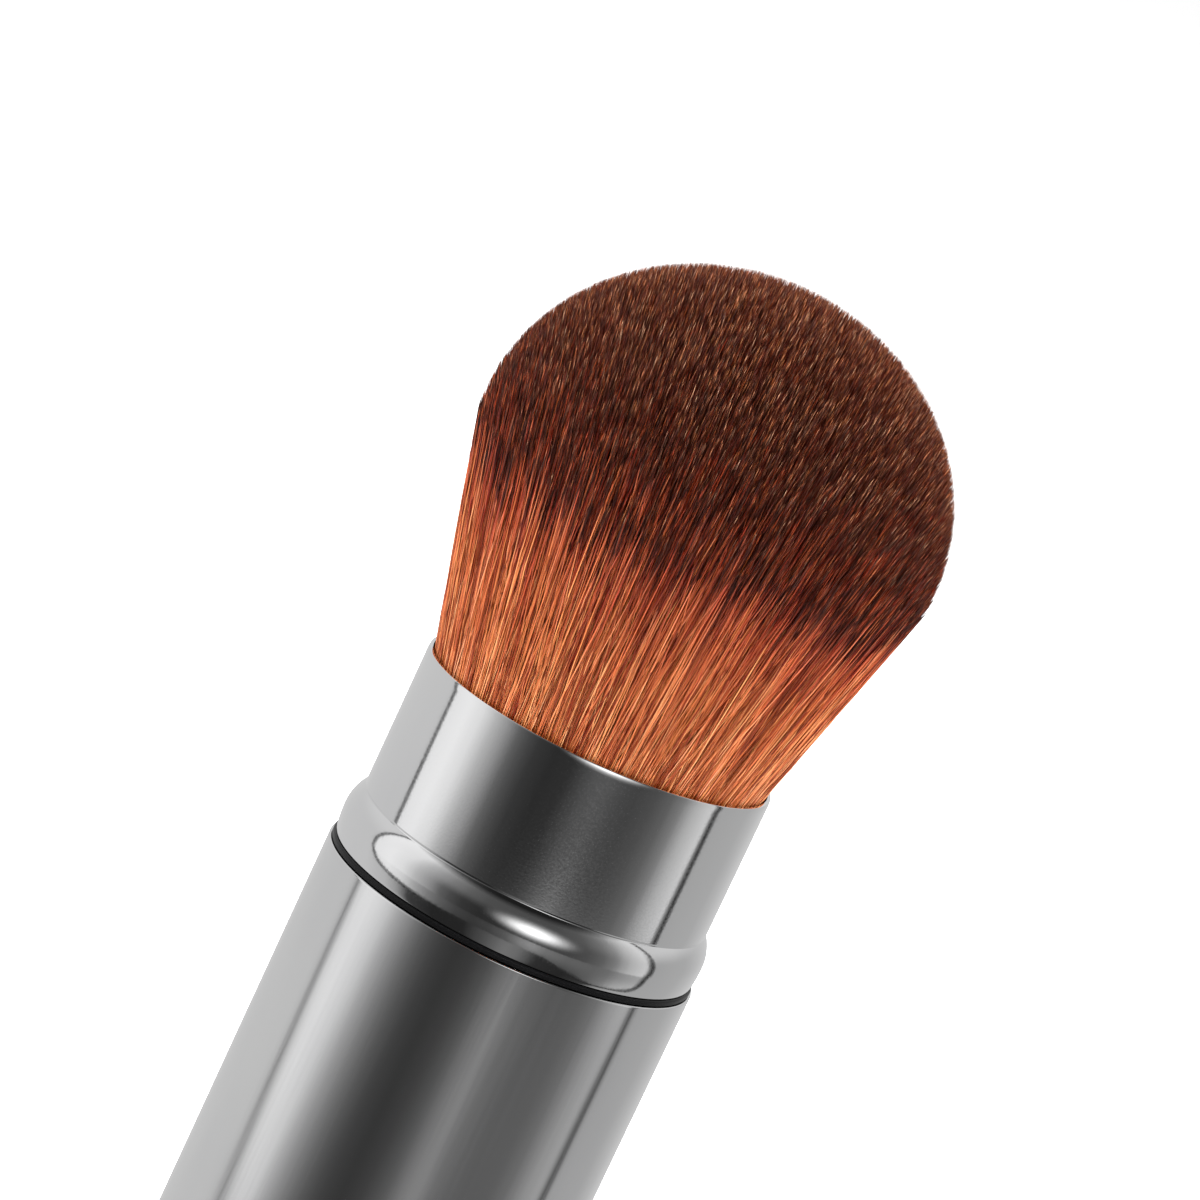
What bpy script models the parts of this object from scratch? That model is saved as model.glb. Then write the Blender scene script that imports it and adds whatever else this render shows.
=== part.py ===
"""Retractable makeup brush.

A domed tuft stands on a stem that is fixed in a metal barrel. A guard, which is a polished collar on a
black sleeve, slides up out of the barrel and gathers the bristles inside it. Here the guard is down.

Metres, +Z up along the brush's axis. The origin is the middle of the base's lower face.
"""

from math import asin, cos, pi, radians, sin, sqrt

import bmesh
import bpy
from mathutils import Matrix, Vector

# Gaps between pieces
SEAT_GAP = 0.0002
FIT_GAP = 0.00015
RUNNING_GAP = 0.00015

# Barrel
BARREL_DIAMETER = 0.026
BARREL_WALL = 0.0006
BARREL_LENGTH = 0.0741
BARREL_BEVEL = 0.00015
LINER_WALL = 0.0005

# Bushing in the barrel's mouth
BUSHING_WALL = 0.001
BUSHING_DEPTH = 0.007
RING_HEIGHT = 0.0004
RING_SETBACK = 0.00005
RING_SLOPE = 0.00025
KEY_COUNT = 4
KEY_WIDTH = 0.0013
KEY_LENGTH = 0.0035
KEY_DEPTH = 0.0003

# Guard sleeve and its slide ring
SLEEVE_WALL = 0.0009
SLEEVE_SHOULDER = 0.00055
SLEEVE_MOUTH_WALL = 0.0006
SLEEVE_DROP = 0.0045
SLEEVE_RIM = 0.0009
RING_SEAT_DEPTH = 0.0004
SLIDE_RING_HEIGHT = 0.003
SLIDE_RING_SPLIT = 0.0025
GROOVE_SPARE = 0.0004

# Collar: neck, bead and lip
COLLAR_WALL = 0.0004
COLLAR_HEIGHT = 0.0135
BEAD_HEIGHT = 0.00325
BEAD_RISE = 0.0014
BEAD_STAND = 0.00067
BEAD_EDGE = 0.0002
BEAD_SKIRT = 0.009

# Tuft
TUFT_HEIGHT = 0.0312
TUFT_DIAMETER = 0.03184
TUFT_WIDEST = 0.01676
TUFT_GAP = 0.00005
GUARD_COVER = 0.0024
SLICE_THICKNESS = 0.0017
ROOT_RIM = 0.001
TIP_TAPER = 0.0014
FLARE_SHARE = 1.1
TUFT_RINGS = 7
TUFT_SECTORS = 7
ROOT_INSET_SHARE = 0.3
BODY_INSET_SHARE = 0.2
BEND_SHARES = (0.0, 0.6)

# Ferrule and glue
FERRULE_CLEARANCE = 0.0003
FERRULE_WALL = 0.00045
FERRULE_LENGTH = 0.0175
FERRULE_DROP = 0.0107
FERRULE_FREE = 0.0035
CRIMP_DEPTH = 0.00025
CRIMP_HEIGHT = 0.0016
GLUE_DEPTH = 0.005

# Stem
STEM_DIAMETER = 0.0086
STEM_SHOULDER = 0.0015
STEM_CONE = 0.0035
FIN_COUNT = 4
FIN_THICKNESS = 0.0014
FIN_SETBACK = 0.0013
TENON_BEVEL = 0.0004

# Base plug, screw and washer
PLUG_FLANGE = 0.0024
BOSS_DIAMETER = 0.0052
BOSS_HEIGHT = 0.0025
SCREW_DIAMETER = 0.0029
SCREW_LENGTH = 0.012
SCREW_POINT = 0.0015
HEAD_DIAMETER = 0.005
HEAD_HEIGHT = 0.0014
HEAD_BEVEL = 0.0003
SLOT_WIDTH = 0.0007
SLOT_LENGTH = 0.003
SLOT_DEPTH = 0.0008
WASHER_DIAMETER = 0.0056
WASHER_THICKNESS = 0.0005
WEIGHT_LENGTH = 0.01
WEIGHT_BEVEL = 0.0005

# Base cap and pad
CAP_FLOOR = 0.0016
CAP_BEVEL = 0.0004
CAP_SPIGOT = 0.0032
CAP_SPIGOT_WALL = 0.0008
PAD_THICKNESS = 0.001

# Faces round each kind of turned piece, and steps in an arc
OUTER_SIDES = 60
INNER_SIDES = 40
SMALL_SIDES = 24
ARC_STEPS = 5
RIM_STEPS = 3
SMOOTH_ANGLE = radians(28)
WELD = 0.000001
OVERRUN = 0.001

# Radii, from the barrel inwards and from the sleeve outwards
barrel_radius = BARREL_DIAMETER / 2
barrel_bore = barrel_radius - BARREL_WALL
liner_radius = barrel_bore - FIT_GAP
liner_bore = liner_radius - LINER_WALL
bushing_radius = barrel_bore - FIT_GAP
bushing_bore = bushing_radius - BUSHING_WALL
sleeve_radius = bushing_bore - RUNNING_GAP
sleeve_bore = sleeve_radius - SLEEVE_WALL
shoulder_radius = sleeve_radius + SLEEVE_SHOULDER
collar_bore = shoulder_radius + FIT_GAP
neck_radius = collar_bore + COLLAR_WALL
bead_radius = neck_radius + BEAD_STAND
ferrule_radius = sleeve_bore - FERRULE_CLEARANCE
ferrule_bore = ferrule_radius - FERRULE_WALL
plug_radius = ferrule_bore - FIT_GAP
stem_radius = STEM_DIAMETER / 2
boss_radius = BOSS_DIAMETER / 2
screw_radius = SCREW_DIAMETER / 2
spigot_bore = barrel_bore - FIT_GAP - CAP_SPIGOT_WALL

# Heights, from the base upwards
travel = TUFT_HEIGHT + GUARD_COVER
barrel_foot = CAP_FLOOR + SEAT_GAP
barrel_top = barrel_foot + BARREL_LENGTH
ring_foot = barrel_top + SEAT_GAP
ring_top = ring_foot + RING_HEIGHT
bead_foot = ring_top + SEAT_GAP
lip = bead_foot + COLLAR_HEIGHT
bushing_foot = barrel_top - BUSHING_DEPTH
slide_ring_top = bushing_foot - SEAT_GAP - travel
slide_ring_foot = slide_ring_top - SLIDE_RING_HEIGHT
sleeve_foot = slide_ring_foot - SEAT_GAP - SLEEVE_RIM
ferrule_top = lip - FERRULE_DROP
ferrule_foot = ferrule_top - FERRULE_LENGTH
tuft_root = ferrule_top - FERRULE_FREE
glue_top = tuft_root - SLICE_THICKNESS - SEAT_GAP
glue_foot = glue_top - GLUE_DEPTH
tenon_top = glue_foot - SEAT_GAP
tenon_foot = ferrule_foot - SEAT_GAP
spigot_top = CAP_FLOOR + CAP_SPIGOT
pad_top = barrel_foot + PAD_THICKNESS
plug_foot = pad_top + SEAT_GAP
plug_shoulder = spigot_top + SEAT_GAP
plug_top = plug_shoulder + PLUG_FLANGE
head_foot = plug_foot + SEAT_GAP
head_top = head_foot + HEAD_HEIGHT
washer_foot = head_top + SEAT_GAP
washer_top = washer_foot + WASHER_THICKNESS
recess_top = washer_top + SEAT_GAP
stem_foot = plug_top + SEAT_GAP
boss_top = plug_top + BOSS_HEIGHT
screw_tip = head_top + SCREW_LENGTH
weight_top = stem_foot + WEIGHT_LENGTH


def clear_scene():
    for scene_object in list(bpy.data.objects):
        bpy.data.objects.remove(scene_object, do_unlink=True)


def new_collection(name, parent):
    collection = bpy.data.collections.new(name)
    parent.children.link(collection)
    return collection


def material(name, colour, roughness, metallic=0.0):
    """A Principled material. The colour is linear red, green and blue."""
    made = bpy.data.materials.new(name)
    made.use_nodes = True
    shader = made.node_tree.nodes["Principled BSDF"]
    shader.inputs["Base Color"].default_value = (*colour, 1.0)
    shader.inputs["Roughness"].default_value = roughness
    shader.inputs["Metallic"].default_value = metallic
    made.diffuse_color = (*colour, 1.0)
    return made


def arc(centre, radius, start, end, steps):
    """Points along an arc in the (radius, height) plane, from one angle to another."""
    angles = [start + (end - start) * step / steps for step in range(steps + 1)]
    return [(centre[0] + radius * cos(a), centre[1] + radius * sin(a)) for a in angles]


def clockwise(outline):
    """The outline in the order that makes a turned surface face outwards."""
    following = outline[1:] + outline[:1]
    area = sum(r * z_next - r_next * z for (r, z), (r_next, z_next) in zip(outline, following))
    return outline if area < 0 else outline[::-1]


def turned(name, outline, sides, finish):
    """Turns an outline of (radius, height) points about Z. One that has two points on the axis is left
    open between them."""
    points = clockwise(outline)
    on_axis = [index for index, (r, _) in enumerate(points) if r == 0]
    if on_axis:
        start = next(i for i in on_axis if (i - 1) % len(points) in on_axis)
        points = points[start:] + points[:start]
    edges = [(i, i + 1) for i in range(len(points) - 1)]
    if not on_axis:
        edges.append((len(points) - 1, 0))
    profile = bpy.data.meshes.new(name + "_profile")
    profile.from_pydata([(r, 0.0, z) for r, z in points], edges, [])
    guide = bpy.data.objects.new(name + "_guide", profile)
    parts.objects.link(guide)
    screw = guide.modifiers.new("Turn", "SCREW")
    screw.steps = screw.render_steps = sides
    screw.use_merge_vertices = True
    screw.merge_threshold = WELD
    bpy.context.view_layer.update()
    graph = bpy.context.evaluated_depsgraph_get()
    mesh = bpy.data.meshes.new_from_object(guide.evaluated_get(graph))
    bpy.data.objects.remove(guide)
    mesh.shade_smooth()
    mesh.set_sharp_from_angle(angle=SMOOTH_ANGLE)
    return part(name, mesh, finish)


def part(name, mesh, finish):
    mesh.name = name
    mesh.materials.clear()
    mesh.materials.append(finish)
    made = bpy.data.objects.new(name, mesh)
    parts.objects.link(made)
    return made


def boxes(name, sizes, centre, count):
    """A helper of equal boxes in a ring about Z, the first at the centre given."""
    shape = bmesh.new()
    for turn in range(count):
        place = Matrix.Rotation(2 * pi * turn / count, 4, "Z") @ Matrix.Translation(centre)
        bmesh.ops.create_cube(shape, size=1.0, matrix=place @ Matrix.Diagonal((*sizes, 1.0)))
    mesh = bpy.data.meshes.new(name)
    shape.to_mesh(mesh)
    shape.free()
    helper = bpy.data.objects.new(name, mesh)
    helper.hide_render = True
    helper.display_type = "WIRE"
    cutters.objects.link(helper)
    return helper


def combine(base, helper, operation):
    modifier = base.modifiers.new(helper.name, "BOOLEAN")
    modifier.operation = operation
    modifier.solver = "EXACT"
    modifier.object = helper


def make_barrel(finish):
    """Drawn tube with both rims bevelled inside and out."""
    outline = [
        (barrel_bore + BARREL_BEVEL, barrel_foot),
        (barrel_radius - BARREL_BEVEL, barrel_foot),
        (barrel_radius, barrel_foot + BARREL_BEVEL),
        (barrel_radius, barrel_top - BARREL_BEVEL),
        (barrel_radius - BARREL_BEVEL, barrel_top),
        (barrel_bore + BARREL_BEVEL, barrel_top),
        (barrel_bore, barrel_top - BARREL_BEVEL),
        (barrel_bore, barrel_foot + BARREL_BEVEL),
    ]
    return turned("barrel", outline, OUTER_SIDES, finish)


def make_liner(finish):
    foot = plug_top + SEAT_GAP
    top = bushing_foot - SEAT_GAP
    outline = [(liner_bore, foot), (liner_radius, foot), (liner_radius, top), (liner_bore, top)]
    return turned("barrel_liner", outline, INNER_SIDES, finish)


def make_bushing(finish):
    """Spigot in the barrel's mouth, with a rounded flange on the rim and keys in the bore."""
    flange_radius = barrel_radius - RING_SETBACK
    rounded = [
        (flange_radius - RING_SLOPE * (1 - cos(a)), ring_foot + RING_HEIGHT * sin(a))
        for a in (pi / 2 * step / RIM_STEPS for step in range(RIM_STEPS + 1))
    ]
    outline = [
        (bushing_bore, bushing_foot),
        (bushing_radius, bushing_foot),
        (bushing_radius, ring_foot),
        *rounded,
        (bushing_bore, ring_top),
    ]
    made = turned("mouth_bushing", outline, OUTER_SIDES, finish)
    inner = sleeve_radius - KEY_DEPTH
    outer = bushing_bore + BUSHING_WALL / 2
    keys = boxes(
        "bushing_keys",
        (outer - inner, KEY_WIDTH, KEY_LENGTH),
        Vector(((inner + outer) / 2, 0, barrel_top - KEY_LENGTH / 2)),
        KEY_COUNT,
    )
    combine(made, keys, "UNION")
    return made


def make_sleeve(finish):
    """Tube with a shoulder that the collar hangs on, a seat for the slide ring and a groove for each key."""
    shoulder = bead_foot + COLLAR_WALL + SEAT_GAP
    seat_radius = sleeve_radius - RING_SEAT_DEPTH
    seat_foot = slide_ring_foot - SEAT_GAP
    seat_top = slide_ring_top + SEAT_GAP
    mouth = lip - SLEEVE_DROP
    outline = [
        (sleeve_bore, sleeve_foot),
        (sleeve_radius, sleeve_foot),
        (sleeve_radius, seat_foot),
        (seat_radius, seat_foot),
        (seat_radius, seat_top),
        (sleeve_radius, seat_top),
        (sleeve_radius, shoulder),
        (shoulder_radius, shoulder),
        (shoulder_radius, mouth),
        (shoulder_radius - SLEEVE_MOUTH_WALL, mouth),
        (sleeve_bore, shoulder),
    ]
    made = turned("guard_sleeve", outline, INNER_SIDES, finish)
    floor = sleeve_radius - KEY_DEPTH - RUNNING_GAP
    outer = sleeve_radius + OVERRUN
    foot = barrel_top - KEY_LENGTH - travel - GROOVE_SPARE
    top = barrel_top + GROOVE_SPARE
    grooves = boxes(
        "key_grooves",
        (outer - floor, KEY_WIDTH + 2 * RUNNING_GAP, top - foot),
        Vector(((floor + outer) / 2, 0, (foot + top) / 2)),
        KEY_COUNT,
    )
    combine(made, grooves, "DIFFERENCE")
    return made


def make_slide_ring(finish):
    """Ring with one split, so that it can be sprung into the sleeve's seat."""
    inner = sleeve_radius - RING_SEAT_DEPTH + FIT_GAP
    outer = liner_bore - RUNNING_GAP
    outline = [
        (inner, slide_ring_foot),
        (outer, slide_ring_foot),
        (outer, slide_ring_top),
        (inner, slide_ring_top),
    ]
    made = turned("slide_ring", outline, INNER_SIDES, finish)
    middle = (slide_ring_foot + slide_ring_top) / 2
    split = boxes(
        "ring_split",
        (outer - inner + 2 * OVERRUN, SLIDE_RING_SPLIT, SLIDE_RING_HEIGHT + 2 * OVERRUN),
        Vector(((inner + outer) / 2, 0, middle)),
        1,
    )
    combine(made, split, "DIFFERENCE")
    return made


def make_collar(finish):
    """Drawn shell: a rolled lip, a straight neck, and a bead that turns in under itself. The bead's face is
    the arc through its widest place and the crease where it meets the neck, over a nearly straight skirt."""
    crease = bead_foot + BEAD_HEIGHT
    widest = bead_foot + BEAD_RISE
    rise = crease - widest
    face = (rise**2 + BEAD_STAND**2) / (2 * BEAD_STAND)
    centre = (bead_radius - face, widest)
    back = face - COLLAR_WALL
    floor = bead_foot + COLLAR_WALL
    skirt = (bead_radius - BEAD_SKIRT, widest)
    drop = bead_foot + BEAD_EDGE - widest
    outside = [
        *arc(skirt, BEAD_SKIRT, asin(drop / BEAD_SKIRT), 0, ARC_STEPS // 2)[:-1],
        *arc(centre, face, 0, asin(rise / face), ARC_STEPS),
    ]
    foot_radius = outside[0][0] - BEAD_EDGE
    back_rise = sqrt(back**2 - (collar_bore - centre[0]) ** 2)
    skirt_back = BEAD_SKIRT - COLLAR_WALL
    inside = [
        *arc(centre, back, asin(back_rise / back), 0, ARC_STEPS)[:-1],
        *arc(skirt, skirt_back, 0, asin((floor - widest) / skirt_back), ARC_STEPS // 2),
    ]
    half_wall = COLLAR_WALL / 2
    rolled = arc((collar_bore + half_wall, lip - half_wall), half_wall, 0, pi, RIM_STEPS)
    hole = sleeve_radius + FIT_GAP
    outline = [(foot_radius, bead_foot), *outside, *rolled, *inside, (hole, floor), (hole, bead_foot)]
    return turned("collar", outline, OUTER_SIDES, finish)


def crimped(radius, middle):
    """The three points of a crimp groove rolled into a wall at that radius, upwards."""
    return [
        (radius, middle - CRIMP_HEIGHT / 2),
        (radius - CRIMP_DEPTH, middle),
        (radius, middle + CRIMP_HEIGHT / 2),
    ]


def make_ferrule(finish):
    """Tube crimped into the groove of the stem's tenon."""
    crimp = (tenon_foot + tenon_top) / 2
    outline = [
        (ferrule_bore, ferrule_foot),
        (ferrule_radius, ferrule_foot),
        *crimped(ferrule_radius, crimp),
        (ferrule_radius, ferrule_top),
        (ferrule_bore, ferrule_top),
        *crimped(ferrule_bore, crimp)[::-1],
    ]
    return turned("ferrule", outline, INNER_SIDES, finish)


def make_glue_plug(finish):
    outline = [(0, glue_foot), (plug_radius, glue_foot), (plug_radius, glue_top), (0, glue_top)]
    return turned("glue_plug", outline, INNER_SIDES, finish)


def make_stem(finish):
    """Post with a socket for the plug's boss, a screw hole, a cone, a shoulder under the ferrule and a
    tenon in it. Crossed fins stiffen it between the weight and the cone."""
    cone_top = tenon_foot - STEM_SHOULDER
    cone_foot = cone_top - STEM_CONE
    socket = boss_radius + FIT_GAP
    socket_top = boss_top + SEAT_GAP
    hole = screw_radius + FIT_GAP
    outline = [
        (0, tenon_top),
        (plug_radius - TENON_BEVEL, tenon_top),
        (plug_radius, tenon_top - TENON_BEVEL),
        *crimped(plug_radius, (tenon_foot + tenon_top) / 2)[::-1],
        (plug_radius, tenon_foot),
        (ferrule_radius, tenon_foot),
        (ferrule_radius, cone_top),
        (stem_radius, cone_foot),
        (stem_radius, stem_foot),
        (socket, stem_foot),
        (socket, socket_top),
        (hole, socket_top),
        (hole, screw_tip),
        (0, screw_tip + screw_radius),
    ]
    made = turned("core_stem", outline, INNER_SIDES, finish)
    reach = ferrule_radius - FIN_SETBACK
    inner = stem_radius / 2
    foot = weight_top + SEAT_GAP
    fins = boxes(
        "stem_fins",
        (reach - inner, FIN_THICKNESS, cone_top - foot),
        Vector(((reach + inner) / 2, 0, (cone_top + foot) / 2)),
        FIN_COUNT,
    )
    combine(made, fins, "UNION")
    return made


def make_base_plug(finish):
    """Stepped disc, with a recess under it for the screw's head and a boss over it for the stem."""
    recess = max(HEAD_DIAMETER, WASHER_DIAMETER) / 2 + FIT_GAP
    hole = screw_radius + FIT_GAP
    lower_radius = spigot_bore - FIT_GAP
    flange_radius = barrel_bore - FIT_GAP
    outline = [
        (recess, plug_foot),
        (lower_radius, plug_foot),
        (lower_radius, plug_shoulder),
        (flange_radius, plug_shoulder),
        (flange_radius, plug_top),
        (boss_radius, plug_top),
        (boss_radius, boss_top),
        (hole, boss_top),
        (hole, recess_top),
        (recess, recess_top),
    ]
    return turned("base_plug", outline, INNER_SIDES, finish)


def make_screw(finish):
    """Pan-head screw. The thread is left plain at its outer diameter. A cross is cut in the head."""
    head_radius = HEAD_DIAMETER / 2
    outline = [
        (0, head_foot),
        (head_radius - HEAD_BEVEL, head_foot),
        (head_radius, head_foot + HEAD_BEVEL),
        (head_radius, head_top),
        (screw_radius, head_top),
        (screw_radius, screw_tip - SCREW_POINT),
        (0, screw_tip),
    ]
    made = turned("stem_screw", outline, SMALL_SIDES, finish)
    height = SLOT_DEPTH + OVERRUN
    centre = Vector((0, 0, head_foot + SLOT_DEPTH - height / 2))
    for name, sizes in (
        ("head_slot_x", (SLOT_LENGTH, SLOT_WIDTH, height)),
        ("head_slot_y", (SLOT_WIDTH, SLOT_LENGTH, height)),
    ):
        combine(made, boxes(name, sizes, centre, 1), "DIFFERENCE")
    return made


def make_washer(finish):
    inner = screw_radius + FIT_GAP
    outer = WASHER_DIAMETER / 2
    outline = [(inner, washer_foot), (outer, washer_foot), (outer, washer_top), (inner, washer_top)]
    return turned("screw_washer", outline, SMALL_SIDES, finish)


def make_weight(finish):
    inner = stem_radius + FIT_GAP
    outer = liner_bore - FIT_GAP
    outline = [
        (inner, stem_foot),
        (outer, stem_foot),
        (outer, weight_top - WEIGHT_BEVEL),
        (outer - WEIGHT_BEVEL, weight_top),
        (inner, weight_top),
    ]
    return turned("base_weight", outline, INNER_SIDES, finish)


def make_pad(finish):
    radius = spigot_bore - FIT_GAP
    outline = [(0, barrel_foot), (radius, barrel_foot), (radius, pad_top), (0, pad_top)]
    return turned("base_pad", outline, INNER_SIDES, finish)


def make_base_cap(finish):
    """Disc as wide as the barrel, with a spigot that goes up into it."""
    spigot = barrel_bore - FIT_GAP
    outline = [
        (0, 0),
        (barrel_radius - CAP_BEVEL, 0),
        (barrel_radius, CAP_BEVEL),
        (barrel_radius, CAP_FLOOR),
        (spigot, CAP_FLOOR),
        (spigot, spigot_top),
        (spigot_bore, spigot_top),
        (spigot_bore, CAP_FLOOR),
        (0, CAP_FLOOR),
    ]
    return turned("base_cap", outline, OUTER_SIDES, finish)


def tuft_outline(height):
    """The tuft's radius at a height over the lip. It flares almost straight from the slice, and eases into
    the widest place."""
    lip_radius = collar_bore - TUFT_GAP
    root_radius = plug_radius - ROOT_RIM
    if height < 0:
        down = -height / (lip - tuft_root)
        return lip_radius + (root_radius - lip_radius) * down
    up = min(height / TUFT_WIDEST, 1.0)
    power = FLARE_SHARE / (FLARE_SHARE - 1)
    flare = FLARE_SHARE * up - (FLARE_SHARE - 1) * up**power
    return lip_radius + (TUFT_DIAMETER / 2 - lip_radius) * flare


def disc_cells():
    """A unit disc cut into triangles ring by ring: its places, the first place of each ring, and the
    cells, each with its three places and its ring."""
    places = [Vector((0, 0))]
    first = [0]
    for ring in range(1, TUFT_RINGS + 1):
        first.append(len(places))
        count = TUFT_SECTORS * ring
        for step in range(count):
            angle = 2 * pi * step / count
            places.append(ring / TUFT_RINGS * Vector((cos(angle), sin(angle))))
    cells = []
    for ring in range(1, TUFT_RINGS + 1):
        inner_count = max(TUFT_SECTORS * (ring - 1), 1)
        outer_count = TUFT_SECTORS * ring
        for sector in range(TUFT_SECTORS):
            for step in range(ring):
                inner = first[ring - 1] + (sector * (ring - 1) + step) % inner_count
                outer = first[ring] + sector * ring + step
                outer_next = first[ring] + (sector * ring + step + 1) % outer_count
                cells.append((inner, outer, outer_next, ring))
                if step < ring - 1:
                    inner_next = first[ring - 1] + (sector * (ring - 1) + step + 1) % inner_count
                    cells.append((inner, outer_next, inner_next, ring))
    return places, first, cells


def band(lower, upper):
    """The faces between two loops of as many points, which run the same way round."""
    nexts = lower[1:] + lower[:1], upper[1:] + upper[:1]
    return [(a, b, d, c) for a, b, c, d in zip(lower, nexts[0], upper, nexts[1])]


def strand_loops(reach, ring):
    """The (height over the lip, inset share) of each loop of a strand that leaves the disc at that share
    of its radius, and the height of its tip on the dome. The outer ring bends with the outline."""
    tip = TUFT_WIDEST + (TUFT_HEIGHT - TUFT_WIDEST) * sqrt(1 - reach**2)
    bends = [share * TUFT_WIDEST for share in BEND_SHARES] if ring == TUFT_RINGS else []
    loops = [(height, BODY_INSET_SHARE) for height in (*bends, tip - TIP_TAPER)]
    return [(tuft_root - lip, ROOT_INSET_SHARE), *loops], tip


def make_bristles(finish):
    """Three-sided strands, one on each cell of the slice's top, all scaled out from the axis by the
    tuft's outline, so that none cross. The slice's face between them joins them in one body."""
    places, first, cells = disc_cells()
    root = tuft_outline(tuft_root - lip)
    points = [Vector((*(place * root), tuft_root)) for place in places]
    faces = []
    for *corners, ring in cells:
        middle = sum((places[i] for i in corners), Vector((0, 0))) / len(corners)
        loops, tip = strand_loops(middle.length, ring)
        lower = corners
        for height, inset in loops:
            drawn_in = [middle + (places[i] - middle) * (1 - inset) for i in corners]
            upper = [len(points) + k for k in range(len(corners))]
            points += [Vector((*(place * tuft_outline(height)), lip + height)) for place in drawn_in]
            faces += band(lower, upper)
            lower = upper
        faces += [(a, b, len(points)) for a, b in zip(lower, lower[1:] + lower[:1])]
        points.append(Vector((*(middle * tuft_outline(tip)), lip + tip)))
    edge = list(range(first[TUFT_RINGS], len(places)))
    rim = [places[i] * plug_radius for i in edge]
    for height in (tuft_root, tuft_root - SLICE_THICKNESS):
        lower = [len(points) + k for k in range(len(rim))]
        points += [Vector((*place, height)) for place in rim]
        faces += band(lower, edge)
        edge = lower
    faces.append(edge[::-1])
    mesh = bpy.data.meshes.new("bristles")
    mesh.from_pydata(points, [], faces)
    return part("bristles", mesh, finish)


def hang(pieces, name):
    """Parents pieces to an empty on the guard's axis, at its seat on the ring."""
    axis = bpy.data.objects.new(name, None)
    axis.location = (0, 0, bead_foot)
    parts.objects.link(axis)
    bpy.context.view_layer.update()
    for piece in pieces:
        piece.parent = axis
        piece.matrix_parent_inverse = axis.matrix_world.inverted()


def main():
    polished = material("polished aluminium", (0.56, 0.56, 0.57), 0.12, 1.0)
    plain_metal = material("plain aluminium", (0.6, 0.6, 0.6), 0.35, 1.0)
    steel = material("zinc-plated steel", (0.45, 0.46, 0.47), 0.4, 1.0)
    black = material("black moulded plastic", (0.008, 0.008, 0.009), 0.35)
    ivory = material("natural acetal", (0.72, 0.7, 0.64), 0.4)
    grey = material("grey moulded plastic", (0.09, 0.09, 0.095), 0.5)
    foam = material("black foam", (0.012, 0.012, 0.012), 0.9)
    glue = material("cured glue", (0.42, 0.28, 0.12), 0.25)
    fibre = material("dyed synthetic fibre", (0.26, 0.075, 0.03), 0.45)

    make_barrel(polished)
    make_liner(grey)
    make_bushing(black)
    make_base_cap(polished)
    make_pad(foam)
    make_base_plug(grey)
    make_screw(steel)
    make_washer(steel)
    make_weight(steel)
    make_stem(grey)
    make_ferrule(plain_metal)
    make_glue_plug(glue)
    make_bristles(fibre)
    hang([make_collar(polished), make_sleeve(black), make_slide_ring(ivory)], "guard_axis")


clear_scene()
parts = new_collection("retractable_makeup_brush", bpy.context.scene.collection)
cutters = new_collection("cutters", bpy.context.scene.collection)
main()
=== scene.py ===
"""Looks, studio and camera of a retractable makeup brush.

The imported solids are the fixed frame. The pieces that show are made here as fine surfaces: the
tuft filament by filament, and the polished and moulded pieces as turned surfaces with their small
edge radii. Lengths are in metres, and the brush stands on its base with +Z along its axis.
"""

from math import atan2, cos, pi, radians, sin, sqrt, tan

import bmesh
import bpy
import numpy as np
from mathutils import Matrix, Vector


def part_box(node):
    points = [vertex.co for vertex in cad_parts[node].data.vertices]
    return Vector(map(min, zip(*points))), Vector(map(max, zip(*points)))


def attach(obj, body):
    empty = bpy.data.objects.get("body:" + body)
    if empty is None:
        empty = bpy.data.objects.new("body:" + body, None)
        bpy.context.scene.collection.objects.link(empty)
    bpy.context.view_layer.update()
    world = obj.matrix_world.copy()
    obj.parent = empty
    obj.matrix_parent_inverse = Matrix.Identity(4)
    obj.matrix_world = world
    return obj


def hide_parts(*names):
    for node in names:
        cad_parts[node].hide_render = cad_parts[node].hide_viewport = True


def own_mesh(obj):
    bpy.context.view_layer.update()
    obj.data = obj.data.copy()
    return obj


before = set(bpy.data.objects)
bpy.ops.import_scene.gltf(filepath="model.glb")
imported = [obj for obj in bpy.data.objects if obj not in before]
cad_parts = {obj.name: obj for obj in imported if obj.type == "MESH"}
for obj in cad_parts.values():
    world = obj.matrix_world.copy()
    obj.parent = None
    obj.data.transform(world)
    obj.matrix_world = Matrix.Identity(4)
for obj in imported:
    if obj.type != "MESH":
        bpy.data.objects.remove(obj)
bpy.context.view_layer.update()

MM = 0.001

# Turned pieces
TURNED_SIDES = 192
ARC_STEPS = 6
BEAD_STEPS = 22
SUPPORT = 0.03 * MM
SHARP = radians(40)
KEY_SIDE_STEP = 0.003
ANGLE_SLACK = 1e-6

# Barrel and base cap
BARREL_WALL = 0.6 * MM
RIM_RADIUS = 0.1 * MM
CAP_RADIUS = 0.35 * MM
CAP_SPIGOT_GAP = 0.75 * MM
CAP_SPIGOT_WALL = 0.8 * MM
CAP_FLOOR = 1.6 * MM

# Bushing and sleeve
KEY_COUNT = 4
KEY_WIDTH = 1.3 * MM
KEY_DEPTH = 0.3 * MM
KEY_LENGTH = 3.5 * MM
RUNNING_GAP = 0.15 * MM
SEAT_GAP = 0.2 * MM
BUSHING_WALL = 1.0 * MM
BUSHING_FIT = 0.75 * MM
RING_HEIGHT = 0.4 * MM
RING_RADIUS = 0.15 * MM
RING_SET_BACK = 0.1 * MM
SLEEVE_BORE = 10.2 * MM
SLEEVE_RADIUS = 11.1 * MM
SLEEVE_MOUTH_WALL = 0.6 * MM
RING_SEAT_DEPTH = 0.4 * MM
GROOVE_SPARE = 0.4 * MM

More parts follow.
